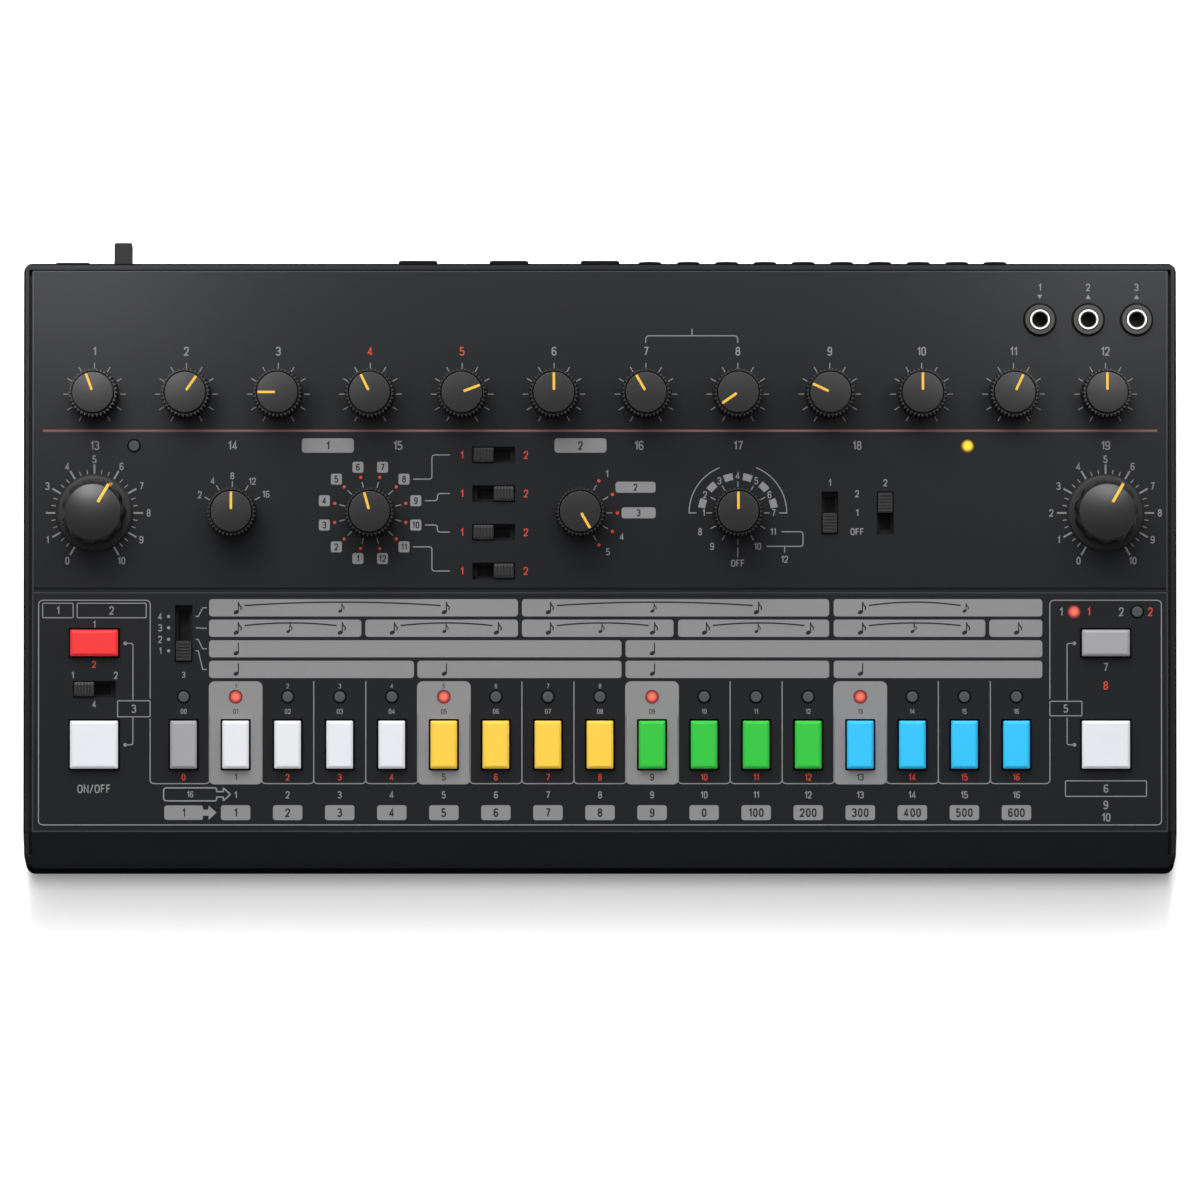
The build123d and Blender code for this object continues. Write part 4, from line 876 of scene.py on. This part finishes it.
def corners_of(path):
    """Corners of a figure's line, and whether it is closed."""
    corners = path.removesuffix(" closed")
    return [tuple(float(part) for part in corner.split(",")) for corner in corners.split()], corners != path


def figure_span(figure):
    reach = [corner[0] for path in FIGURES[figure] for corner in corners_of(path)[0]]
    return min(reach), max(reach)


def label(ink, words, x, v, tall=1.9, weight=0.14, top=INK_TOP):
    """Number or word centred at (x, v), `tall` over its figures."""
    words = str(words)
    thick = tall * weight
    wide, high, gap = tall * 0.54 - thick, tall - thick, thick * 1.75
    spans = [figure_span(figure) for figure in words]
    total = sum((last - first) * wide for first, last in spans) + gap * (len(words) - 1)
    place = x - total / 2
    for figure, (first, last) in zip(words, spans):
        for k, path in enumerate(FIGURES[figure]):
            corners, closed = corners_of(path)
            line = [(place + (px - first) * wide, v - high / 2 + py * high) for px, py, _ in corners]
            stroke(ink, soft(line, [radius * tall * 0.9 for *_, radius in corners], closed, 4), thick, closed,
                   top + 0.0015 * k)
        place += (last - first) * wide + gap


def tag(words, x, v, width, height, tall, corner=0.8):
    """Filled grey box with a dark number."""
    bar(x - width / 2, v - height / 2, x + width / 2, v + height / 2, corner)
    label("dark", words, x, v, tall, 0.17, OVERPRINT)


# Level row: numbers, bracket and the red rule under it
for i, x in enumerate(LEVEL_KNOBS):
    label("red" if i in (3, 4) else "grey", i + 1, x, 127.45, 2.35)
stroke("grey", soft(((12.12, 129.7), (12.12, 131.55), (36.45, 131.55), (36.45, 129.7)), 1))
stroke("grey", ((24.35, 131.39), (24.35, 133.4)))
stroke("rule", ((-147.43, 106.41), (147.43, 106.41)), 0.57)

# Heading numbers of the control row
for number, x in enumerate((-133.67, -97.14, -53.47, 10.32, 36.58, 68.03, 133.8), 13):
    label("grey", number, x, 102.51, 2.4)
for number, x in ((1, -72), (2, -5.16)):
    tag(number, x, 102.49, 13.76, 3.81, 2.3)

# Scales of the two large dials
for side in (-1, 1):
    for i in range(11):
        if side > 0 or i != 2:
            angle = radians(-150 + 30 * i)
            v = CONTROL_ROW + 14.2 * cos(angle) - (0.35 if i in (0, 10) else 0)
            label("grey", i, side * SIDE_X + 14.35 * sin(angle), v, 2.0)

# Numbers round the selectors and at the fade switches
for number, x, v in (
        (2, -105.88, 89.47), (4, -102.44, 93.17), (8, -97.3, 94.49), (12, -91.98, 93.04), (16, -88.41, 89.6),
        (1, 1.85, 95.02), (4, 5.82, 78.35), (5, 2.12, 74.38), (1, 27.4, 84.7), (2, 27.79, 89.47), (3, 31.58, 93.17),
        (4, 36.45, 94.49), (5, 41.37, 93.17), (6, 44.84, 89.47), (7, 45.92, 84.7), (8, 26.47, 79.67),
        (9, 29.65, 75.81), ("OFF", 36.45, 71.33), (10, 41.69, 75.81), (11, 45.79, 79.67), (12, 48.84, 72.39),
        (1, 60.8, 92.64), (2, 75.52, 92.64), (2, 68.03, 89.73), (1, 68.03, 84.7), ("OFF", 68.03, 79.67)):
    label("grey", number, x, v)

# Instrument dial: twelve tagged numbers, red dots and the lines to the mode switches
for i in range(12):
    dot("red", *around(INSTRUMENT_X, CONTROL_ROW, 9.74, 15 + 30 * i), 0.42)
for number, x, v in (
        (6, -64.05, 96.74), (7, -57.54, 96.74), (8, -51.85, 93.59), (9, -48.73, 87.88),
        (10, -48.73, 81.45), (11, -51.85, 75.67), (12, -57.54, 72.58), (1, -64.05, 72.58),
        (2, -69.75, 75.67), (3, -72.92, 81.45), (4, -72.92, 87.88), (5, -69.75, 93.59)):
    tag(number, x, v, 2.9, 2.9, 1.85, 0.5)
for path in (((-49.5, 93.59), (-44.47, 93.59), (-44.47, 100), (-39.7, 100)),
             ((-46.32, 87.88), (-43.01, 87.88), (-43.01, 89.78), (-39.7, 89.78)),
             ((-46.32, 81.45), (-43.01, 81.45), (-43.01, 79.57), (-39.7, 79.57)),
             ((-49.5, 75.67), (-44.47, 75.67), (-44.47, 69.27), (-39.7, 69.27))):
    stroke("grey", soft(path, 0.8))
for i, v in enumerate(mode_rows):
    label("red", 1, -36.53, v, 2.1)
    label("red", 2, -19.59, v, 2.1)

# Pattern dial
for i in range(5):
    dot("red", *around(PATTERN_X, CONTROL_ROW, 9.79, 30 + 30 * i), 0.45)
tag(2, 9.4, 91.45, 10.59, 2.91, 1.9, 0.7)
tag(3, 10.22, 84.67, 9, 2.91, 1.9, 0.7)

# Variation dial
variation = (VARIATION_X, CONTROL_ROW)
for way in (-1, 1):
    stroke("grey", arc(variation, 12.92, way * 22, way * 90) + [(VARIATION_X + way * 10.91, CONTROL_ROW)])
    for middle in (75, 45, 15):
        stroke("grey", arc(variation, 9.69, way * (middle - 7), way * (middle + 7), 8), 1.85)
stroke("grey", soft(((48.04, 79.67), (53.71, 79.67), (53.71, 75.81), (44.1, 75.81)), 0.8))
stroke("grey", ((48.84, 75.81), (48.84, 74.11)))
stroke("grey", ((36.45, 75.44), (36.45, 72.95)))

# Arrows and numbers of the panel sockets
for number, (x, way) in enumerate(zip(PANEL_JACKS, (-1, 1, 1)), 1):
    plate("grey", [(x + px * way, 141.87 + py * way) for px, py in ((-0.65, -0.55), (0.65, -0.55), (0, 0.6))])
    label("grey", number, x, 144.39, 2.0)

# Outline of the lower panel with its two side boxes, and the cells of the steps
CELL_TOP, CELL_FOOT = 40.1, 13.02
BOX_TOP, BOX_FOOT = 61.54, 2.12
BOX_SIDE, BOX_INNER = 148.49, 118.98
GAP_TOP, GAP_FOOT = 35.47, 30.17
UPPER_ROW, LOWER_ROW, ARROW_ROW, TAG_ROW = 32.13, 14.74, 10.19, 5.35
TILE_HALF, TILE_SEAM = 7.1, (LED_ROW + KEY_ROW + 5.1) / 2
KEY_OPENING, LAMP_OPENING = (8.0, 13.65, 0.3), (3.7, 3.7, 1.84)
stroke("grey", soft([(-BOX_INNER, GAP_TOP), (-BOX_INNER, BOX_TOP), (-BOX_SIDE, BOX_TOP), (-BOX_SIDE, BOX_FOOT),
                     (BOX_SIDE, BOX_FOOT), (BOX_SIDE, BOX_TOP), (BOX_INNER, BOX_TOP), (BOX_INNER, GAP_TOP)],
                    1.3))
for i in range(STEPS + 1):
    x = step_x(i)
    if i % 4 == 1:
        left, right = x - TILE_HALF, x + TILE_HALF
        pierced((left, CELL_FOOT - 0.2, right, TILE_SEAM + 1.6), (x, KEY_ROW), KEY_OPENING, INK_TOP)
        pierced((left, TILE_SEAM - 1.6, right, CELL_TOP), (x, LED_ROW), LAMP_OPENING, INK_TOP + 0.002)
        continue
    left = -BOX_INNER if i == 0 else x - KEY_PITCH / 2
    right = BOX_INNER if i == STEPS else x + KEY_PITCH / 2
    left_top = GAP_FOOT if i == 0 else CELL_TOP - 2 * (i % 4 == 2)
    right_top = GAP_FOOT if i == STEPS else CELL_TOP - 2 * (i % 4 == 0)
    stroke("grey", soft(((left, left_top), (left, CELL_FOOT), (right, CELL_FOOT), (right, right_top)), 1.2),
           top=INK_TOP + 0.001 * (i % 2))
for i in range(1, STEPS + 1):
    x = step_x(i)
    filled = i % 4 == 1
    ink, top = ("dark", OVERPRINT) if filled else ("grey", INK_TOP)
    if i <= 8:
        label(ink, i, x, 38.83, 1.25, top=top)
    label(ink, f"{i:02d}", x, UPPER_ROW, 1.35, top=top)
    label("dark" if filled else "red", i, x, LOWER_ROW, 1.85, top=top)
    label("grey", i, x, 10.06)
    tag(i if i < 10 else 100 * (i - 10), x, TAG_ROW, 7.78, 3.95, 2.35, 0.7)
label("red", 0, FUNCTION_X, LOWER_ROW, 1.85)
label("grey", "00", FUNCTION_X, UPPER_ROW, 1.35)


# Arrows to the step numbers
def arrow(x0, x1, tip, v, half, head, filled):
    """Box that runs out in an arrow head."""
    shaft = half * 0.42
    outline = [(x0, v - half), (x1, v - half), (x1, v - shaft), (tip - head, v - shaft), (tip - head, v - half),
               (tip, v), (tip - head, v + half), (tip - head, v + shaft), (x1, v + shaft), (x1, v + half),
               (x0, v + half)]
    outline = soft(outline, [0.8, 0.6, 0.1, 0.1, 0.2, 0.1, 0.2, 0.1, 0.1, 0.6, 0.8], True, 4)
    if filled:
        fan(outline)
    else:
        stroke("grey", outline, 0.36, True)


arrow(-115.4, -101.38, -97.75, ARROW_ROW, 1.72, 1.85, False)
arrow(-115.22, -105, -101.38, TAG_ROW, 1.91, 2.12, True)
label("grey", 16, -108.39, ARROW_ROW, 1.7)
label("dark", 1, -110.11, TAG_ROW, 2.3, top=OVERPRINT)


# Note bars
def note(x, v, tall, flag):
    """Note with a slanted head, stem and, for an eighth, a flag."""
    slant = Matrix.Rotation(0.45, 2)
    head = [slant @ Vector((px * 1.25, py * 0.85)) for px, py, _ in circle(tall * 0.19, 0, 16)]
    plate("dark", [(x + spot.x, v - tall * 0.36 + spot.y) for spot in head], OVERPRINT)
    stem = x + tall * 0.17
    stroke("dark", ((stem, v - tall * 0.34), (stem, v + tall * 0.5)), tall * 0.095, top=OVERPRINT + 0.001)
    if flag:
        stroke("dark", soft(((stem, v + tall * 0.48), (stem + tall * 0.06, v + tall * 0.22),
                             (stem + tall * 0.26, v + tall * 0.08), (stem + tall * 0.2, v - tall * 0.18)), tall * 0.2),
               tall * 0.11, top=OVERPRINT + 0.002)


def slur(x0, x1, v, rise):
    """Tie between two notes, a flat bow."""
    points = [(x0 + (x1 - x0) * i / 16, v + rise * (1 - (i / 8 - 1) ** 2)) for i in range(17)]
    stroke("dark", points, 0.38, top=OVERPRINT)


BEAT = 13.76
NOTE, SHORT_NOTE = 3.2, 2.4
SLUR_START, SLUR_END = 2.2, 1.0
bar_rows = ((61.83, 57.25), (56.41, 51.85), (50.95, 46.43), (45.53, 40.95))
bar_ends = (
    ((-103.39, -21.7), (-20.65, 60.61), (61.81, 116.99)),
    ((-103.39, -63.13), (-62.07, -21.7), (-20.65, 19.45), (20.65, 60.61), (61.81, 101.91),
     (102.96, 116.99)),
    ((-103.39, 5.69), (6.75, 116.99)),
    ((-103.39, -49.23), (-48.31, 5.69), (6.75, 60.61), (61.81, 116.99)))
for (top, foot), ends in zip(bar_rows, bar_ends):
    for x0, x1 in ends:
        bar(x0, foot, x1, top, 0.8)
FIRST_NOTE = -96.21
rows = [(top + foot) / 2 for top, foot in bar_rows]
for start in (0, 6, 12):
    for k, tall in ((0, NOTE), (2, SHORT_NOTE), (4, NOTE)):
        if start + k <= 15:
            note(FIRST_NOTE + BEAT * (start + k), rows[0], tall, True)
    x = FIRST_NOTE + BEAT * start
    slur(x + SLUR_START, x + BEAT * (4 if start < 12 else 2) - SLUR_END, rows[0] + 0.6, 0.9)
for k in range(16):
    x = FIRST_NOTE + BEAT * k
    note(x, rows[1], NOTE if k % 3 != 1 else SHORT_NOTE, True)
    if k % 3 == 0 and k < 15:
        slur(x + SLUR_START, x + BEAT * 2 - SLUR_END, rows[1] + 0.7, 0.7)
for k, row in ((0, 2), (8, 2), (0, 3), (4, 3), (8, 3), (12, 3)):
    note(FIRST_NOTE + BEAT * k, rows[row], NOTE, False)

# Scale switch: numbers, dots and the lines to the bars
for number, v, row in zip((4, 3, 2, 1), (57.25, 54.21, 51.19, 48.15), rows):
    label("grey", number, -116.33, v)
    dot("grey", -114.11, v, 0.42)
    stroke("grey", ((-106.93, v), (-106.27, v), (-105.08, row), (-104.02, row)))
label("grey", 3, -110.11, 41.82, 1.6)

# Side boxes: outlined tags, numbers, dots and joining lines
for x0, x1, y0, y1, number in ((-147.43, -139.36, 60.75, 56.91, 1), (-138.3, -120.04, 60.75, 56.91, 2),
                               (-127.58, -118.98, 34.94, 30.7, 3), (118.98, 127.45, 34.81, 30.97, 5),
                               (123.08, 144.52, 13.76, 9.66, 6)):
    stroke("grey", soft(((x0, y1), (x1, y1), (x1, y0), (x0, y0)), 0.3, True), closed=True)
    label("grey", number, (x0 + x1) / 2, (y0 + y1) / 2, 2.2)
for way, x_dot, x_line in ((1, -125.57, -123.53), (-1, 125.46, 123.53)):
    for near, far in ((50.13, 35.2), (23.29, 30.44)):
        stroke("grey", soft(((x_dot, near), (x_line, near), (x_line, far)), 0.6))
        dot("grey", x_dot, near, 0.5)
for ink, number, x, v, tall in (
        ("grey", 1, -133.8, 55.16, 1.9), ("red", 2, -133.8, 44.6, 1.9), ("grey", 1, -139.49, 41.69, 1.9),
        ("grey", 2, -128.03, 41.69, 1.9), ("grey", 4, -133.75, 34.01, 1.8), ("grey", "ON/OFF", -133.8, 11.65, 2.3),
        ("grey", 1, 121.97, 58.5, 2.3), ("red", 1, 129.27, 58.5, 2.3), ("grey", 2, 137.9, 58.5, 2.3),
        ("red", 2, 145.58, 58.5, 2.3), ("grey", 7, 133.75, 43.81, 2.3), ("red", 8, 133.75, 38.99, 2.3),
        ("grey", 9, 133.75, 7.41, 2.3), ("grey", 10, 133.83, 4.1, 2.3)):
    label(ink, number, x, v, tall)

# Painted highlights: light lines in front of the groove across the panel, at the crease and round the cover, for the
# light that those edges catch
for v in (63.5, 0.45, 148.6):
    stroke("edge", ((-COVER_HALF, v), (COVER_HALF, v)), 0.28, top=0.012)
for x in (-COVER_HALF, COVER_HALF):
    stroke("edge", ((x, 0.6), (x, 148.4)), 0.26, top=0.012)


def marks(points, count, first, inner, outer, width):
    """Rings of marks 30 degrees apart, grown on a mesh of dial middles."""
    base = bpy.data.meshes.new("dial_middles")
    base.from_pydata([(x, v, (INK_FOOT + INK_TOP) / 2) for x, v in points], [], [])
    mesh = grown(TICK_RING, base, "marks", Marks=count, First_Angle=radians(first), Step_Angle=radians(30),
                 Inner_Radius=inner, Outer_Radius=outer, Width=width, Thickness=INK_TOP - INK_FOOT,
                 Ink=looks["grey_ink"])
    INK["grey"].from_mesh(mesh)
    bpy.data.meshes.remove(mesh)


large_dials = [(-SIDE_X, CONTROL_ROW), (SIDE_X, CONTROL_ROW)]
marks([(x, LEVEL_ROW) for x in LEVEL_KNOBS], 11, -150, 6.78, 8.28, 0.24)
marks(large_dials, 11, -150, 10.32, 12.84, 0.46)
for offset in (10, 20):
    marks(large_dials, 10, -150 + offset, 10.38, 11.54, 0.24)
for x, count, first, outer, width in ((MEASURE_X, 5, -60, 8.42, 0.27), (INSTRUMENT_X, 12, 15, 8.47, 0.25),
                                      (PATTERN_X, 5, 30, 8.47, 0.25), (VARIATION_X, 12, 0, 8.34, 0.25)):
    marks([(x, CONTROL_ROW)], count, first, 6.88, outer, width)

for name, form in INK.items():
    for face in form.faces:
        face.material_index = 0
    # The edge lines are painted highlights, built like the prints.
    look = "edge_highlight_line" if name == "edge" else name + "_ink"
    piece(name + "_print", mesh_of(form, name + "_print", (look,), 20), panel_place(), "case", "cover_plastic")


# ---------------------------------------------------------------- floor, light and camera
# How much the table is lifted in front of the case, by millimetres from its front edge; the uneven steps paint the
# falloff of the shadow there
FRONT_SHADOW_LIFT = ((0, 0.14), (2, 0.18), (4, 0.23), (5.5, 0.225), (8, 0.165), (10, 0.14), (12, 0.148), (15.4, 0.2),
              (18, 0.27), (21, 0.33), (33, 0.6), (50, 0.9))
# In metres: the case's front edge, and where the lift to white starts and ends beside and behind the case, which
# paints out the shadow there
FRONT_Y = -0.082
SIDE_REACH, REAR_REACH = (0.149, 0.156), (0.0, 0.06)


def make_floor():
    """Pale table top; camera and mirror rays see it lifted to white beside and behind the case, which paints out its
    shadow there, and lifted by a given profile in front, which keeps the shadow there and paints its falloff.
    """
    material = bpy.data.materials.new("table_top")
    material.use_nodes = True
    tree = Tree(material.node_tree)
    nodes = material.node_tree.nodes
    tree.fill(nodes["Principled BSDF"], Base_Color=(0.86, 0.86, 0.86, 1), Roughness=0.75, Specular_IOR_Level=0.1)
    rays = tree.node("ShaderNodeLightPath").outputs
    seen = tree.math("MAXIMUM", tree.math("MAXIMUM", rays["Is Camera Ray"], rays["Is Glossy Ray"]),
                     rays["Is Transmission Ray"])
    place = tree.node("ShaderNodeSeparateXYZ", Vector=tree.place()).outputs
    beside, behind = (
        tree.node("ShaderNodeMapRange", interpolation_type="SMOOTHSTEP", Value=value, From_Min=first, From_Max=last,
                  To_Min=0.0, To_Max=0.9).outputs["Result"]
        for value, (first, last) in ((tree.math("ABSOLUTE", place["X"]), SIDE_REACH), (place["Y"], REAR_REACH)))
    reach = FRONT_SHADOW_LIFT[-1][0]
    ahead = tree.ramp(tree.math("MULTIPLY", tree.math("SUBTRACT", place["Y"], FRONT_Y), -1 / (MM * reach)),
                      [(step / reach, (tone, tone, tone, 1)) for step, tone in FRONT_SHADOW_LIFT])
    tone = tree.math("MAXIMUM", tree.math("MAXIMUM", beside, behind), ahead)
    lift = tree.node("ShaderNodeEmission", Strength=tree.math("MULTIPLY", seen, tone))
    both = tree.node("ShaderNodeAddShader")
    tree.put(both.inputs[0], nodes["Principled BSDF"].outputs["BSDF"])
    tree.put(both.inputs[1], lift.outputs["Emission"])
    tree.fill(nodes["Material Output"], Surface=both.outputs["Shader"])
    return material


looks["table_top"] = make_floor()
form = bmesh.new()
skin(form, [[(-3, -3, z), (3, -3, z), (3, 3, z), (-3, 3, z)] for z in (-0.01, 0.0)])
floor = bpy.data.objects.new("table", mesh_of(form, "table", ("table_top",)))
bpy.context.scene.collection.objects.link(floor)


def lamp(name, size, power, place, target, diffuse=True, glossy=True):
    """Rectangular soft box aimed at a point; it may leave out its diffuse light or its reflection."""
    data = bpy.data.lights.new(name, "AREA")
    data.shape = "RECTANGLE"
    data.size, data.size_y = size
    data.energy = power
    made = bpy.data.objects.new(name, data)
    made.location = place
    made.rotation_euler = (Vector(target) - Vector(place)).to_track_quat("-Z", "Y").to_euler()
    made.visible_camera = False
    made.visible_diffuse = diffuse
    made.visible_glossy = glossy
    bpy.context.scene.collection.objects.link(made)


lamp("key_box", (0.7, 0.5), 6.0, (-0.3, 0.7, 1.1), (0, 0, 0.03))
lamp("top_box", (0.9, 0.6), 5.4, (-0.12, 0.22, 1.3), (0, 0, 0.03), glossy=False)
lamp("rear_strip", (0.8, 0.12), 1.3, (0.05, 0.42, 0.42), (0, 0.05, 0.03))
lamp("left_sheen", (0.08, 0.05), 0.16, (-0.156, 0.067, 0.19), (-0.15, 0.085, 0.047), False)
lamp("right_sheen", (0.08, 0.05), 0.13, (0.156, 0.067, 0.19), (0.15, 0.085, 0.047), False)
lamp("rear_sheen", (0.26, 0.03), 0.08, (0, 0.067, 0.19), (0, 0.085, 0.047), False)
world = bpy.data.worlds.new("studio")
bpy.context.scene.world = world
world.use_nodes = True
sky = Tree(world.node_tree)
way = sky.node("ShaderNodeSeparateXYZ", Vector=sky.place()).outputs["Y"]
sky.fill(world.node_tree.nodes["Background"], Color=(1, 1, 1, 1),
         Strength=sky.math("ADD", sky.math("MULTIPLY", way, 0.34), 0.46))

VIEW_TILT = radians(11.5)
VIEW_DISTANCE = 3.6
VIEW_WIDTH = 0.31743
look_at = panel_place() @ Vector((0, 61.6, 0))
data = bpy.data.cameras.new("camera")
data.sensor_width = 36.0
data.lens = data.sensor_width * VIEW_DISTANCE / VIEW_WIDTH
data.clip_end = 20.0
camera = bpy.data.objects.new("camera", data)
camera.location = look_at + VIEW_DISTANCE * Vector((0, -sin(VIEW_TILT), cos(VIEW_TILT)))
camera.rotation_euler = (VIEW_TILT, 0, 0)
bpy.context.scene.collection.objects.link(camera)
bpy.context.scene.camera = camera
bpy.context.scene.view_settings.view_transform = "Standard"
